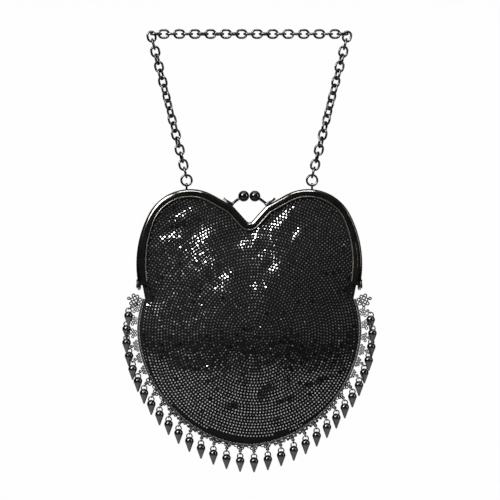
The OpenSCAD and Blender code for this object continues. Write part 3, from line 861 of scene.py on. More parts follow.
@dataclass
class ChainHandle(SubAssembly):
    """Chain of oval links, turned by quarters, and the two rings it hangs the bag by.

    The wires are drawn a little fuller than the solids' wires, by fuller_wire and fuller_ring.
    """

    wire: float = 1.7
    fuller_wire: float = 0.12
    fuller_ring: float = 0.1
    top_slack: float = 7.0
    side_slack: float = 6.0
    inner_length: float = 6.45
    inner_width: float = 4.6
    gap: float = 0.23
    top_links: int = 25
    side_links: int = 19
    ring_radius: float = 4.2
    ring_wire: float = 1.6
    ring_offset: float = 3.0
    lobe_x: float = 47.2

    @property
    def reach(self) -> float:
        """Distance between the middles of a link's end wires."""
        return self.inner_length + self.wire

    @property
    def pitch(self) -> float:
        """Distance from link to link."""
        return self.inner_length - self.gap

    @property
    def corner_x(self) -> float:
        """Half the length of the top run."""
        return (self.top_links - 1) / 2 * self.pitch + self.reach / 2

    @property
    def ring_x(self) -> float:
        """Distance of a ring from the middle."""
        return self.lobe_x + self.ring_offset

    @property
    def lean(self) -> float:
        """Angle of a side run from upright, in degrees."""
        return math.degrees(math.asin((self.corner_x - self.ring_x) / (self.side_links * self.pitch)))

    def link(self, shell: Shell, matrix: Matrix) -> None:
        """Adds one link of the chain."""
        shell.oval(matrix, self.wire + self.fuller_wire, self.reach, (self.inner_width + self.wire) / 2)

    def build(self) -> list[bpy.types.Object]:
        """Builds the three runs and the rings."""
        loose = random.Random(7)
        top = Shell()
        for k in range(self.top_links):
            jitter = math.radians(loose.uniform(-self.top_slack, self.top_slack))
            along = Matrix.Translation(((k - (self.top_links - 1) / 2) * self.pitch * MM, 0, 0))
            self.link(top, along @ Matrix.Rotation(math.radians(90 * (k + 1)) + jitter, 4, "X")
                      @ Matrix.Rotation(math.pi / 2, 4, "Y"))
        made = [self.settle(top.piece("chain_top", CHAIN_METAL), "handle_top", "chain", "handle_top_links")]
        twist = 90 + 90 / (self.side_links - 1)
        for side, name in ((1, "right"), (-1, "left")):
            run = Shell()
            for k in range(self.side_links):
                between = 0 < k < self.side_links - 1
                jitter = loose.uniform(-self.side_slack, self.side_slack) if between else 0
                down = self.wire + self.gap - self.reach / 2 - k * self.pitch
                self.link(run, Matrix.Translation((side * self.corner_x * MM, 0, 0))
                          @ Matrix.Rotation(math.radians(side * self.lean), 4, "Y")
                          @ Matrix.Translation((0, 0, down * MM))
                          @ Matrix.Rotation(math.radians(side * k * twist + jitter), 4, "Z"))
            made.append(self.settle(run.piece(f"chain_{name}", CHAIN_METAL), "handle_sides", "chain",
                                    f"handle_{name}_links"))
            ring = Shell()
            low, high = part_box(f"ring_{name}")
            middle = (Vector(low) + Vector(high)) / 2
            ring.oval(Matrix.Translation(middle), self.ring_wire + self.fuller_ring, 2 * self.ring_radius,
                      self.ring_radius, 24, 14)
            made.append(self.settle(ring.piece(f"handle_ring_{name}", CHAIN_METAL), "rings", "chain",
                                    f"ring_{name}"))
        return made


@dataclass
class FrameHalf(SubAssembly):
    """One half of the frame: a rolled channel with a rounded outer edge, a fine groove and an inner bead.

    The bead's crown, crown_strips strips of faces counted from the section's end, has a lighter metal: a
    painted highlight.
    """

    side: Side
    plan: FramePlan = field(default_factory=FramePlan)
    ear_radius: float = 3.2
    rivet_hole: float = 1.26
    heel_depth: float = 3.55
    plate_depth: float = 4.35
    lip_depth: float = 4.8
    crown_from_end: int = 14
    crown_strips: int = 3

    def section(self) -> list[Point]:
        """The channel's section as (inset, depth) in millimetres, once round."""
        p = self.plan
        back, front, width, wall = p.halves_gap / 2, p.half_depth, p.face_width, p.wall
        ledge = [(0.0, front - 1.0), (0.1, front - 0.9), (0.72, front - 0.9)]
        bevel = [(2.2 - 7.7 * (sin(t) - sin(20)), front - 0.12 - 7.7 * (cos(20) - cos(t)))
                 for t in np.linspace(32, 20, 6)]
        roll = [(2.6 - 1.17 * sin(t), front - 0.05 - 1.17 * (1 - cos(t))) for t in np.linspace(17, 0, 4)]
        groove = [(2.7, front - 0.05), (2.82, front - 0.2), (3.0, front - 0.2), (3.12, front - 0.05)]
        face = [(3.4, front), (4.9, front - 0.03), (5.15, front - 0.12), (5.3, front - 0.32),
                (5.42, front - 0.3)]
        bead = [(width - 0.55 + 0.53 * math.cos(t), front - 0.08 + 0.48 * math.sin(t))
                for t in np.linspace(math.pi, -0.2, 9)]
        inside = [(width, front - wall), (wall + 0.6, front - wall), (wall, front - wall - 0.6),
                  (wall, back + wall), (width - 0.1, back + wall), (width, back + wall - 0.1),
                  (width, back + 0.1), (width - 0.1, back)]
        outer = [(0.12, back), (0.0, back + 0.12), (0.0, 1.0), (0.07, 1.15), (0.07, 1.45), (0.0, 1.6)]
        return outer + ledge + bevel + roll + groove + face + bead + inside

    def build(self) -> list[bpy.types.Object]:
        """Sweeps the section along the arch, and adds the two ears."""
        shell = Shell()
        points = self.place.rows(([(x, y, depth) for x, y in self.plan.arch(inset)]
                                  for inset, depth in self.section()), outward=self.side.outward)
        rows, columns = points.shape[:2]
        start = shell.grid(points, close_rows=True)
        shell.cap(start + r * columns for r in range(rows))
        shell.cap(start + r * columns + columns - 1 for r in reversed(range(rows)))
        for mirrored in (1, -1):
            self.ear(shell, mirrored)
            self.heel(shell, mirrored)
        piece = shell.piece(f"rolled_frame_{self.side.tag}", PLATED, sharp=38)
        # The bead's crown takes the lighter metal: a painted highlight line.
        piece.data.materials.append(BEAD_HIGHLIGHT_METAL.material())
        crown = rows - self.crown_from_end
        for face in piece.data.polygons[crown * (columns - 1):(crown + self.crown_strips) * (columns - 1)]:
            face.material_index = 1
        return [self.settle(piece, self.side.body, "frame", f"{self.side.tag}_frame")]

    def heel(self, shell: Shell, mirrored: int) -> None:
        """Adds the plate that ends the channel's face, and its turned-up lip."""
        p = self.plan
        inner, outer, low, high = p.ear_x - p.face_width - 1.4, p.ear_x - 0.15, p.start - 2.6, p.start + 0.1
        plate = [(inner, low), (outer, low), (outer, high), (inner, high)]
        lip = [(inner, low - 0.7), (outer + 1.05, low - 0.7), (outer + 1.05, high + 1.3),
               (outer + 0.45, high + 1.3), (outer + 0.45, low), (inner, low)]
        for outline, deep in ((plate, self.plate_depth), (lip, self.lip_depth)):
            shell.solid(self.place.rows([[(x, y, z) for x, y in outline] for z in (self.heel_depth, deep)],
                                        mirrored, self.side.outward))

    def ear(self, shell: Shell, mirrored: int) -> None:
        """Adds one hinge ear: a round plate with an arm up to the channel."""
        p = self.plan
        outer = p.ear_x - p.halves_gap / 2
        if self.side is Side.BACK:
            outer -= p.wall + p.halves_gap
        near, far = p.halves_gap, (self.ear_radius if self.side is Side.FRONT else p.half_depth - p.wall)
        top = p.start + p.wall
        rim = [(top, near), (math.sqrt(self.ear_radius**2 - near**2), near)]
        first = math.degrees(math.asin(near / self.ear_radius))
        rim += [(self.ear_radius * cos(t), self.ear_radius * sin(t))
                for t in np.linspace(first, -270, 30)[1:]]
        rim += [(0.4, far), (top, far)]
        reach = [math.degrees(math.atan2(z, y)) for y, z in rim]
        hole = [(self.rivet_hole * cos(a), self.rivet_hole * sin(a)) for a in reach]
        loops = [[(outer, *q) for q in hole], [(outer, *q) for q in rim],
                 [(outer - p.wall, *q) for q in rim], [(outer - p.wall, *q) for q in hole]]
        shell.grid(self.place.rows(loops, mirrored, self.side.outward), close_rows=True, close_columns=True)
        if self.side is Side.BACK:
            low = p.start - p.wall
            box = [[(x, y, z) for y, z in ((low, near), (top, near), (top, far), (low, far))]
                   for x in (outer - p.wall, outer + p.wall + p.halves_gap)]
            shell.solid(self.place.rows(box, mirrored, self.side.outward))


@dataclass
class Hinges(SubAssembly):
    """The rivets and the ring lugs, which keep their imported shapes."""

    def build(self) -> list[bpy.types.Object]:
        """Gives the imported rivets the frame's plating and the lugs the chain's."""
        self.keep(PLATED, "hinge_rivet_left", "hinge_rivet_right")
        self.keep(CHAIN_METAL, "ring_lug_left", "ring_lug_right")
        return []


@dataclass
class Clasp(SubAssembly):
    """Kiss-lock: two balls side by side, each on a bent arm with a narrowing tab on the frame's shoulder.

    The back half's ball and arm are on the right, where `way` is 1, and the front half's on the left.
    """

    plan: FramePlan = field(default_factory=FramePlan)
    ball_radius: float = 4.2
    ball_gap: float = 0.5
    rise: float = 21.0
    arm_foot: float = 14.2
    arm_radius: float = 1.0
    polish: float = 0.2
    tab_length: float = 8.0
    tab_width: float = 3.2
    tab_thickness: float = 1.5

    def build(self) -> list[bpy.types.Object]:
        """Builds both balls and both arms."""
        made = []
        for side in Side:
            way = side.value
            made.append(self.settle(self.ball(side, way), side.body, "clasp", f"clasp_ball_{side.tag}"))
            made.append(self.settle(self.arm(side, way), side.body, "clasp", f"clasp_arm_{side.tag}"))
        return made

    def ball(self, side: Side, way: int) -> bpy.types.Object:
        """One turned ball, larger than its solid by the polish."""
        radius = self.ball_radius + self.polish
        profile = [(radius * cos(t), radius * sin(t)) for t in np.linspace(-90, 90, 33)[1:-1]]
        shell = Shell()
        shell.lathe(self.place, (*self.centre(way), 0.0), profile, 40)
        return shell.piece(f"kiss_ball_{side.tag}", BALL_METAL)

    def centre(self, way: int) -> Point:
        """Middle of a ball, in the frame's plane."""
        return way * (self.ball_radius + self.ball_gap / 2), self.plan.notch_level + self.rise

    def arm(self, side: Side, way: int) -> bpy.types.Object:
        """The bent rod and its tab."""
        p = self.plan
        slope = p.shoulder_slope
        foot_height = p.lobe_height + p.lobe_radius / cos(slope) - (p.lobe_x - self.arm_foot) * tan(slope)
        seat = -(p.halves_gap + self.tab_width / 2) * way
        lift = (self.tab_thickness + self.arm_radius) / 2
        foot = np.array([self.arm_foot - lift * sin(slope), foot_height + lift * cos(slope), seat])
        cx, cy = self.centre(1)
        top = np.array([cx, cy, 0.0])
        run = top - foot
        shell = Shell()
        share = np.linspace(0, 1 - 0.8 * self.ball_radius / np.linalg.norm(run), 12)
        path = foot + share[:, None] * run
        path[:, 1] += 0.5 * np.sin(np.pi * share)
        radius = self.arm_radius * (1.1 + 0.25 * np.exp(-((share - 0.02) / 0.06) ** 2)) * MM
        shell.tube(np.array([self.place.at(way * x, y, z) for x, y, z in path]), radius, 16)
        heel, level, toe = -1.3, 2.4, self.tab_length + 0.4
        rows = []
        for along in np.linspace(heel, toe, 18):
            end = max(0.0, (along - level) / (toe - level))
            start = max(0.0, (-along - 0.4) / 0.9)
            half = self.tab_width / 2 * math.sqrt(max(0.02, 1 - 0.75 * start**2)) * (1 - 0.7 * end**1.5)
            thick = self.tab_thickness * (1.4 - 0.2 * end)
            raised = 0.8 * end**1.5
            brow, edge = 0.62 * half, 0.6 * thick
            loop = [(-half, 0.0), (half, 0.0), (half, edge), (brow, thick), (-brow, thick), (-half, edge)]
            rows.append([(self.arm_foot + along * cos(slope) - (up + raised) * sin(slope),
                          foot_height + along * sin(slope) + (up + raised) * cos(slope), seat + across)
                         for across, up in loop])
        shell.solid(self.place.rows(rows, way))
        return shell.piece(f"kiss_arm_{side.tag}", CHAIN_METAL, sharp=50)


@dataclass
class Pouch(SubAssembly):
    """Studded cloth, front and back, with its lining and the cords that hold it in the channels.

    The studs end short of the seam by one of three hems: the first below hem_level and within hem_reach of
    the middle, the second elsewhere below hem_level, the third above it. Tilts are in degrees.
    """

    plan: PouchPlan = field(default_factory=PouchPlan)
    stud_pitch: float = 2.4
    stud_radius: float = 1.05
    stud_height: float = 0.62
    loose_share: float = 0.07
    loose_tilt: float = 6.5
    set_tilt: float = 1.6
    stud_rings: int = 61
    stud_sides: int = 9
    facet_share: float = 0.6
    centre: Point = (4.4, -38.0)
    hem_level: float = -60.0
    hem_reach: float = 32.0
    hems: tuple[float, float, float] = (5.0, 2.0, 1.8)
    lining_hem: float = 0.975
    lining_thickness: float = 0.4
    cord_inset: float = 1.55
    cord_radius: float = 0.42
    cord_squash: float = 2.6
    blend_low: float = -26.0
    blend_high: float = 11.0

    def build(self) -> list[bpy.types.Object]:
        """Builds each half's cloth, studs, lining and cord."""
        made = []
        for side in Side:
            made += [self.cloth(side), self.studs(side), self.lining(side), self.cord(side)]
        return made

    def attach(self, piece: bpy.types.Object, side: Side, slot: str, *nodes: str) -> bpy.types.Object:
        """Bakes a front piece's place into its mesh; a back piece rides on the bag."""
        if side is Side.BACK:
            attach(piece, "bag")
        else:
            self.place.at(0, self.blend_low, 0)
            self.place.at(0, self.blend_high, 0)
            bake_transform(piece)
        if nodes:
            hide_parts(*nodes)
        return piece

    def skin(self, side: Side, offsets: tuple[float, float], hem: float, shares: np.ndarray) -> Shell:
        """A closed skin over one half of the pouch.

        Args:
            side: which half.
            offsets: outer and inner distance from the cloth's outside, in millimetres.
            hem: share of the outline that the skin reaches.
            shares: rings of points from the rim to the middle, as shares.

        Returns:
            The skin's mesh.
        """
        plan = self.plan
        outline = plan.outline()
        middle = np.array([0.0, plan.middle])
        shell = Shell()
        starts = []
        for offset in offsets:
            flat = middle + (outline - middle)[None, :, :] * (shares * hem)[:, None, None]
            x, y = flat[..., 0].ravel(), flat[..., 1].ravel()
            solid = np.column_stack([x, y, side.outward * (plan.depth(x, y)[0] + offset)])
            points = self.place.many(solid).reshape(*flat.shape[:2], 3)
            starts.append(shell.grid(points, close_columns=True))
        count = len(outline)
        for k in range(count):
            n = (k + 1) % count
            shell.faces.append((starts[0] + k, starts[0] + n, starts[1] + n, starts[1] + k))
        for start in starts:
            last = start + (len(shares) - 1) * count
            shell.cap(range(last, last + count))
        return shell

    def cloth(self, side: Side) -> bpy.types.Object:
        """The ground cloth that carries the studs."""
        shares = np.concatenate([[1, 0.99, 0.98, 0.965, 0.95, 0.93, 0.91], np.linspace(0.885, 0.02, 30)])
        skin = self.skin(side, (0.0, -self.plan.cloth), 1.0, shares)
        piece = skin.piece(f"pouch_cloth_{side.tag}", CLOTH)
        nodes = ["pouch_back"]
        if side is Side.FRONT:
            nodes = ["pouch_front_lower", "pouch_front_band", "pouch_front_upper"]
        return self.attach(piece, side, "studded_cloth", *nodes)

    def lining(self, side: Side) -> bpy.types.Object:
        """The satin lining."""
        shares = np.concatenate([[1, 0.985, 0.965, 0.94, 0.91], np.linspace(0.87, 0.03, 18)])
        outer = -self.plan.cloth - self.plan.gap
        skin = self.skin(side, (outer, outer - self.lining_thickness), self.lining_hem, shares)
        piece = skin.piece(f"satin_{side.tag}", SATIN)
        nodes = ["lining_back"] if side is Side.BACK else ["lining_front_lower", "lining_front_upper"]
        return self.attach(piece, side, "lining", *nodes)

    def spots(self) -> np.ndarray:
        """Places of the studs: concentric rings about a point near the pouch's middle."""
        places = [(0.0, 0.0)]
        loose = random.Random(11)
        for ring in range(1, self.stud_rings + 1):
            radius = ring * self.stud_pitch
            count = max(6, round(2 * math.pi * radius / (self.stud_pitch * 1.02)))
            phase = loose.uniform(0, 360)
            places += [(radius * cos(phase + 360 * k / count), radius * sin(phase + 360 * k / count))
                       for k in range(count)]
        spots = np.array(places) + np.array(self.centre)
        _, inward = self.plan.depth(spots[:, 0], spots[:, 1])
        rim = self.plan.outline()
        beside_frame = (spots[:, 1] > self.plan.frame.start - 1).astype(float)
        lowest, low, above = self.hems
        hem = np.where(np.abs(spots[:, 0]) < self.hem_reach, lowest, low)
        hem = np.where(spots[:, 1] < self.hem_level, hem, above)
        covered = self.plan.frame.face_width - self.plan.cloth_inset + self.stud_radius + 0.15
        margin = np.maximum(hem, beside_frame * covered)
        return spots[_inside(spots, rim) & (self.clearance(spots, rim) > margin) & (inward > 0.5)]

    @staticmethod
    def clearance(spots: np.ndarray, rim: np.ndarray) -> np.ndarray:
        """Distance of each spot from the outline."""
        ends = np.roll(rim, -1, 0)
        best = np.full(len(spots), 1e9)
        for a, b in zip(rim, ends):
            run = b - a
            share = np.clip(((spots - a) @ run) / max(1e-9, run @ run), 0, 1)
            best = np.minimum(best, np.hypot(*(spots - a - share[:, None] * run).T))
        return best

    def studs(self, side: Side) -> bpy.types.Object:
        """Round flat-topped studs set on the cloth, each a little tilted."""
        spots = self.spots()
        depth, _ = self.plan.depth(spots[:, 0], spots[:, 1])
        across, along = self.plan.slopes(spots[:, 0], spots[:, 1])
        loose = np.random.default_rng(5 if side is Side.FRONT else 6)
        spread = np.where(loose.random(len(spots)) < self.loose_share, self.loose_tilt, self.set_tilt)
        tilt = loose.normal(0, 1, (len(spots), 2)) * np.tan(np.radians(spread))[:, None]
        normal = _unit(np.column_stack([-across + tilt[:, 0], -along + tilt[:, 1], np.ones(len(spots))]))
        first = _unit(np.cross(normal, [0.0, 1.0, 0.0]))
        second = np.cross(normal, first)
        sides = self.stud_sides
        turn = _round(sides)
        base = np.column_stack([spots, depth])
        rings = []
        facet = self.stud_radius * self.facet_share
        for radius, lift in ((self.stud_radius, -0.1), (facet, self.stud_height)):
            rings.append(base[:, None, :] + normal[:, None, :] * lift
                         + radius * (np.cos(turn)[None, :, None] * first[:, None, :]
                                     + np.sin(turn)[None, :, None] * second[:, None, :]))
        solid = np.concatenate(rings, axis=1).reshape(-1, 3)
        solid[:, 2] *= side.outward
        shell = Shell()
        shell.add(self.place.many(solid))
        for s in range(len(spots)):
            low = s * 2 * sides
            for k in range(sides):
                n = (k + 1) % sides
                shell.faces.append((low + k, low + n, low + sides + n, low + sides + k))
            shell.faces.append(tuple(low + sides + k for k in range(sides)))
        piece = shell.piece(f"studs_{side.tag}", STUDS, smooth=False)
        # The side faces take the near-black metal: painted shade round each stud.
        piece.data.materials.append(STUD_SIDE_SHADE.material())
        for face in piece.data.polygons:
            face.material_index = 1 if len(face.vertices) == 4 else 0
        shade = piece.data.attributes.new("shade", "FLOAT", "POINT")
        shade.data.foreach_set("value", np.repeat(np.clip(loose.normal(0.45, 0.24, len(spots)), 0, 1),
                                                  2 * sides).astype(np.float32))
        LOG.info("%s: %d studs", piece.name, len(spots))
        return self.attach(piece, side, "studded_cloth")

    def cord(self, side: Side) -> bpy.types.Object:
        """Twisted cord pressed into the frame's channel."""
        middle = side.outward * self.plan.frame.half_depth / 2
        path = np.array([self.place.at(x, y, middle)
                         for x, y in self.plan.frame.arch(self.cord_inset, 24, 260, 30)])
        shell = Shell()
        turns = np.arange(len(path)) * 0.9
        twist = 1 + 0.1 * np.cos(2 * _round(8)[None, :] + turns[:, None])
        shell.tube(path, self.cord_radius * MM, 8, squash=self.cord_squash, twist=twist)
        piece = shell.piece(f"held_cord_{side.tag}", CORD)
        return self.settle(piece, side.body, "cord", f"channel_cord_{side.tag}")


def _inside(points: np.ndarray, rim: np.ndarray) -> np.ndarray:
    """True for each point that lies inside a closed outline."""
    inside = np.zeros(len(points), bool)
    for a, b in zip(rim, np.roll(rim, -1, 0)):
        spans = (a[1] > points[:, 1]) != (b[1] > points[:, 1])
        rise = b[1] - a[1] if abs(b[1] - a[1]) > 1e-12 else 1e-12
        inside ^= spans & (points[:, 0] < (b[0] - a[0]) * (points[:, 1] - a[1]) / rise + a[0])
    return inside


@dataclass
class Fringe(SubAssembly):
    """Piping along the seam, lace of small rings, connector links and the spike drops.

    The wires are thicker than the solids' wires by the fuller values, in millimetres, and the balls wider by
    a factor. A drop is shiny down to dome_edge below its ball's middle; its cone below has a lighter, rougher
    plating, whose lighter colour is painted reflection. The seam chain is the fine chain of this script
    alone, within chain_reach degrees of the bag's lowest point.
    """

    plan: PouchPlan = field(default_factory=PouchPlan)
    piping_radius: float = 0.8
    drops: int = 32
    reach: float = 98.2
    phase: float = -1.0
    ball_radius: float = 3.4
    cone_length: float = 8.8
    tip_radius: float = 0.6
    loop_radius: float = 2.15
    loop_wire: float = 0.9
    neck: float = 5.95
    connector_wire: float = 0.8
    connector_half_width: float = 1.3
    connector_length: float = 3.1
    lace_radius: float = 1.4
    lace_limit: float = 1.75
    lace_wire: float = 0.7
    lace_reach: float = 106.5
    bunch_turn: float = 104.5
    bunch_reach: float = 11.5
    bunch_width: float = 10.0
    fuller_low: float = 0.3
    fuller_side: float = 0.15
    fuller_loop: float = 0.1
    fuller_ball: float = 1.03
    dome_edge: float = 1.5
    chain_reach: float = 64.0
    chain_links: int = 39
    chain_offset: float = 1.1
    chain_wire: float = 0.75
    chain_link: float = 2.9
    chain_bend: float = 0.95

    @property
    def lace_gap(self) -> float:
        """Gap between neighbouring lace rings."""
        return self.lace_wire / 4

    @property
    def play(self) -> float:
        """Play where one loop hooks into another."""
        return self.connector_wire / 8

    def angle(self, i: int) -> float:
        """Angle of a drop from straight down."""
        return self.phase - self.reach + i * 2 * self.reach / (self.drops - 1)

    def swing(self, i: int) -> np.ndarray:
        """The point a drop swings about, as (x, height, depth) in millimetres."""
        name = f"spike_{i + 1:02d}_swing"
        x, y, z = next(j["pos_m"] for j in self.frame["joints"] if j["name"] == name)
        return np.array([x / MM, (z - self.place.hinge_z) / MM, -y / MM])

    def seam(self, angle: float) -> np.ndarray:
        """Middle of the piping at an angle from straight down."""
        x, y = self.plan.oval(angle, self.piping_radius + self.plan.gap / 2)
        return np.array([x, y, 0.0])

    def hook(self, i: int) -> np.ndarray:
        """Middle of a connector's lower end wire."""
        seat = (self.loop_wire + self.connector_wire) / 2 + self.play
        return self.swing(i) - np.array([0, seat, 0])

    def toward_seam(self, i: int) -> np.ndarray:
        """Direction of a connector, from its drop to the seam."""
        return np.array([-sin(self.angle(i) / 2), cos(self.angle(i) / 2), 0])

    def build(self) -> list[bpy.types.Object]:
        """Builds the trim and every drop."""
        made = [self.piping(), self.connectors(), self.lace()]
        return made + [self.drop(i) for i in range(self.drops)]

    def piping(self) -> bpy.types.Object:
        """Three-strand cord along the seam."""
        stations, sides, strands = 900, 10, 3
        path = np.array([self.place.at(*self.seam(t))
                         for t in np.linspace(-self.lace_reach, self.lace_reach, stations)])
        strand = np.cos(strands / 2 * _round(sides)[None, :] + 0.42 * np.arange(stations)[:, None])
        shell = Shell()
        shell.tube(path, (self.piping_radius + 0.03) * MM, sides, twist=1 + 0.13 * (np.abs(strand) - 0.6))
        return self.settle(shell.piece("seam_cord", PIPING), "bag", "piping", "seam_piping")

    def connectors(self) -> bpy.types.Object:
        """Edge-on oval links between the lace and the drops."""
        shell = Shell()
        for i in range(self.drops):
            up = self.toward_seam(i)
            axis, depth = Vector((up[0], 0, up[1])), Vector((0, 1, 0))
            centre = self.place.at(*(self.hook(i) + up * self.connector_length / 2))
            matrix = _axes(depth, depth.cross(axis), axis, centre)
            shell.oval(matrix, self.connector_wire, self.connector_length, self.connector_half_width, 6, 7)
        return self.settle(shell.piece("drop_links", CHAIN_METAL), "bag", "lace", "fringe_connectors")

    def first_ring(self, i: int) -> np.ndarray:
        """Middle of the lace ring that hooks into a connector."""
        return self.hook(i) + self.toward_seam(i) * self.connector_length

    def heads(self) -> list[np.ndarray]:
        """The place on the piping nearest each lace's first ring."""
        places = np.array([self.seam(t) for t in np.arange(-self.lace_reach, self.lace_reach + 0.05, 0.1)])
        return [places[np.argmin(np.linalg.norm((places - self.first_ring(i))[:, :2], axis=1))]
                for i in range(self.drops)]

    def lace_rings(self, room: float, width: float) -> list[tuple[float, float, float]]:
        """Rings of one lace, from its first ring to a row along the piping.

        Args:
            room: distance from the first ring's middle to the piping.
            width: distance along the piping that the lace may take.

        Returns:
            Distance ahead and aside of each ring, and its radius with half a gap.
        """
        left, both = room - self.lace_radius, room + self.lace_radius
        rows = max(0, math.ceil((left / self.lace_limit - math.sqrt(3)) / 2))
        size = left / (2 * rows + math.sqrt(3)) if rows else both - math.sqrt(2 * self.lace_radius * both)
        places = [(0.0, 0.0, self.lace_radius)]
        places += [(self.lace_radius + (2 * k - 1) * size, way * size, size) for k in range(1, rows + 1)
                   for way in ((-2, 0, 2) if 6 * size < width else (0,))]
        return places + [(room - size, way * size, size)
                         for way in ((-3, -1, 1, 3) if 4 * size < width / 2 else (-1, 1))]

    def lace(self) -> bpy.types.Object:
        """Small rings that widen from each connector to the piping, and a bunch at each end of the seam."""
        shell = Shell()
        heads = self.heads()
        for i in range(self.drops):
            low, high = max(0, i - 1), min(self.drops - 1, i + 1)
            width = float(np.linalg.norm(heads[high] - heads[low])) / (high - low)
            fuller = self.fuller_low if abs(self.angle(i)) < self.chain_reach else self.fuller_side
            self.rings(shell, self.first_ring(i), heads[i], width, self.lace_wire + fuller)
        for side, last in ((-1, 0), (1, self.drops - 1)):
            head = self.seam(side * self.bunch_turn)
            along = self.seam(side * (self.bunch_turn + 0.1)) - self.seam(side * (self.bunch_turn - 0.1))
            outward = np.array([along[1], -along[0], 0]) * side
            first = head + outward * self.bunch_reach / np.linalg.norm(along)
            first[2] = -self.swing(last)[2]
            self.rings(shell, first, head, self.bunch_width, self.lace_wire + self.fuller_low)
        self.seam_chain(shell)
        return self.settle(shell.piece("ring_lace", LACE_METAL), "bag", "lace", "fringe_lace")

    def seam_chain(self, shell: Shell) -> None:
        """Adds the fine chain that runs along the lower seam, each link turned a quarter from the last."""
        outside = self.piping_radius + self.plan.gap / 2 + self.chain_offset
        for k in range(-self.chain_links, self.chain_links + 1):
            turn = k * self.chain_reach / self.chain_links
            here, before, after = (np.array(self.plan.oval(t, outside))
                                   for t in (turn, turn - 0.1, turn + 0.1))
            along = (after - before) / np.linalg.norm(after - before)
            flat = Vector((along[0], 0, along[1]))
            aside, depth = Vector((-along[1], 0, along[0])), Vector((0, 1, 0))
            first, second = (aside, depth) if k % 2 == 0 else (depth, -aside)
            matrix = _axes(first, second, flat, self.place.at(*here, 0.0))
            shell.oval(matrix, self.chain_wire, self.chain_link, self.chain_bend, 7, 6)

    def rings(self, shell: Shell, first: np.ndarray, head: np.ndarray, width: float, wire: float) -> None:
        """Adds the rings of one lace, between its first ring and its place on the piping."""
        run = head - first
        length = float(np.linalg.norm(run))
        ahead = run / length
        beside = np.cross([0.0, 0.0, 1.0], ahead)
        beside /= np.linalg.norm(beside)
        out = np.cross(ahead, beside)
        axes = [Vector((v[0], -v[2], v[1])) for v in (beside, out, ahead)]
        for forward, aside, size in self.lace_rings(length - self.piping_radius - self.lace_gap, width):
            radius = size - (self.lace_wire + self.lace_gap) / 2
            matrix = _axes(*axes, self.place.at(*(first + ahead * forward + beside * aside)))
            shell.oval(matrix, wire, 2 * radius, radius, 8, 6)

    def drop(self, i: int) -> bpy.types.Object:
        """One spike drop: loop, ball and cone, spun as one piece."""
        at = self.swing(i)
        shell = Shell()
        matrix = Matrix.Translation(self.place.at(at[0], at[1] - self.loop_radius, at[2]))
        shell.oval(matrix, self.loop_wire + self.fuller_loop, 2 * self.loop_radius + self.fuller_loop,
                   self.loop_radius + self.fuller_loop / 2, 11, 8)
        wide, last = self.ball_radius * self.fuller_ball, self.tip_radius
        top = math.degrees(math.acos(min(1.0, 1.0 / self.ball_radius)))
        profile = [(0.55, self.ball_radius + 0.02), (1.0, self.ball_radius - 0.12)]
        profile += [(wide * cos(t), self.ball_radius * sin(t)) for t in np.linspace(top, -14, 10)]
        profile += [(last + (wide * cos(14) - last) * (1 - t) ** 1.04, -0.82 - (self.cone_length - 1.1) * t)
                    for t in (0.07, 0.11, 0.3, 0.5, 0.7, 0.85, 1.0)]
        profile.append((last * 0.75, -self.cone_length + 0.14))
        shell.lathe(self.place, (at[0], at[1] - self.neck, at[2]), profile, 22)
        name = f"spike_{i + 1:02d}"
        piece = shell.piece(f"drop_{i + 1:02d}", DOME_METAL, sharp=55)
        # Faces below the brim take the cone's lighter plating, a painted reflection.
        piece.data.materials.append(CONE_REFLECTION_METAL.material())
        brim = self.place.at(0, at[1] - self.neck - self.dome_edge, 0)[2]
        for face in piece.data.polygons:
            face.material_index = int(face.center[2] < brim)
        return self.settle(piece, name, "drops", name)


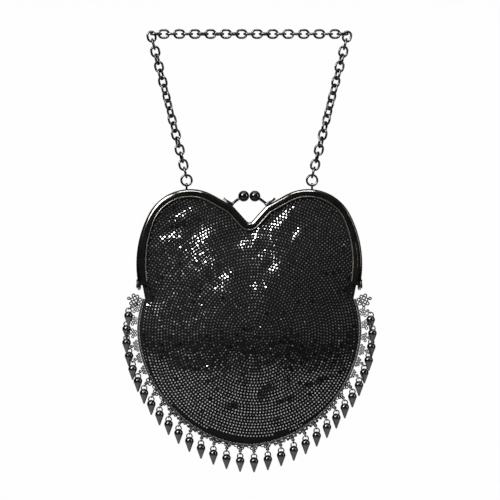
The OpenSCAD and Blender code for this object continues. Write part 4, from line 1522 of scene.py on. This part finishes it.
@dataclass
class Set:
    """Camera, pale sweep and soft lamps."""

    middle: tuple[float, float, float] = (0.00056, 0.0, -0.1728)
    away: float = 2.4
    lens: float = 216.0
    near_left: tuple[float, float, float] = (-0.52, -1.74, 0.6)
    front_light: float = 0.2
    camera_white: float = 0.97

    @property
    def eye(self) -> np.ndarray:
        """Place of the camera."""
        return np.array(self.middle) - (0, self.away, 0)

    def camera(self) -> None:
        """Straight front view, as in the photograph."""
        data = bpy.data.cameras.new("camera")
        data.sensor_width, data.lens = 36.0, self.lens
        made = bpy.data.objects.new("camera", data)
        made.location = self.eye
        made.rotation_euler = (math.pi / 2, 0, 0)
        bpy.context.scene.collection.objects.link(made)
        bpy.context.scene.camera = made

    def sweep(self) -> None:
        """Floor and backdrop in one curved sheet."""
        low, top, behind, near, half_width, bend = -0.47, 5.0, 3.3, -3.3, 3.6, 0.9
        curve = [(behind - bend + bend * math.sin(t), low + bend - bend * math.cos(t))
                 for t in np.linspace(0, math.pi / 2, 16)]
        profile = [(near, low)] + curve + [(behind, top)]
        shell = Shell()
        shell.grid(np.array([[(x, y, z) for x in (-half_width, half_width)] for y, z in profile]))
        shell.piece("sweep", Studio())

    def lamp(self, name: str, at: Sequence[float], size: tuple[float, float], power: float,
             aim: Sequence[float] = (0, 0, -0.18)) -> None:
        """One rectangular soft lamp, aimed at the bag."""
        data = bpy.data.lights.new(name, "AREA")
        data.shape, data.size, data.size_y, data.energy = "RECTANGLE", *size, power
        made = bpy.data.objects.new(name, data)
        made.location = at
        made.rotation_mode = "QUATERNION"
        made.rotation_quaternion = (Vector(at) - Vector(aim)).to_track_quat("Z", "Y")
        made.visible_camera = False
        bpy.context.scene.collection.objects.link(made)

    def world(self) -> None:
        """Room light: pale behind, darker at the sides and towards the viewer, near white to the camera."""
        world = bpy.data.worlds.new("room")
        bpy.context.scene.world = world
        world.use_nodes = True
        nodes, links = world.node_tree.nodes, world.node_tree.links
        coords = nodes.new("ShaderNodeTexCoord")
        light = _falloff(world.node_tree, coords.outputs["Generated"],
                         ((-0.9, 0.5), (self.front_light, 0.8)), ((0.5, 0.85), (1.0, 0.12)))
        seen = nodes.new("ShaderNodeLightPath")
        choice = nodes.new("ShaderNodeMix")
        links.new(seen.outputs["Is Camera Ray"], choice.inputs["Factor"])
        links.new(light, choice.inputs["A"])
        choice.inputs["B"].default_value = self.camera_white
        links.new(choice.outputs["Result"], nodes["Background"].inputs["Strength"])
        nodes["Background"].inputs["Color"].default_value = (1, 1, 1, 1)

    def build(self) -> None:
        """Sets up everything round the bag."""
        self.camera()
        self.sweep()
        self.world()
        self.lamp("key_left", (-0.95, -1.15, 0.75), (0.6, 0.9), 95)
        self.lamp("over", (-0.09, -0.94, 1.11), (0.66, 0.14), 18)
        self.lamp("near_left", self.near_left, (0.25, 0.25), 5)
        self.lamp("fill_right", (1.3, -0.6, 0.25), (0.35, 1.0), 14)
        self.lamp("top", (0.0, 0.1, 1.3), (1.4, 0.9), 16)
        bpy.context.scene.view_settings.view_transform = "Standard"


def main() -> None:
    """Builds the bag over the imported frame."""
    logging.basicConfig(level=logging.INFO, format="%(message)s")
    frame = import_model()
    hinge_z = next(j["pos_m"][2] for j in frame["joints"] if j["name"] == "frame_open")
    place = Place(hinge_z)
    studio = Set()
    studio.build()
    glints = Mirroring(np.array(studio.near_left), studio.eye, place).leans(PouchPlan(leans=()))
    plan = PouchPlan(leans=glints + PouchPlan.leans)
    groups: list[SubAssembly] = [ChainHandle(frame, place), Hinges(frame, place), Clasp(frame, place),
                                 FrameHalf(frame, place, Side.FRONT), FrameHalf(frame, place, Side.BACK),
                                 Pouch(frame, place, plan), Fringe(frame, place)]
    for group in groups:
        LOG.info("%s: %d pieces", type(group).__name__, len(group.build()))


if __name__ == "__main__":
    main()
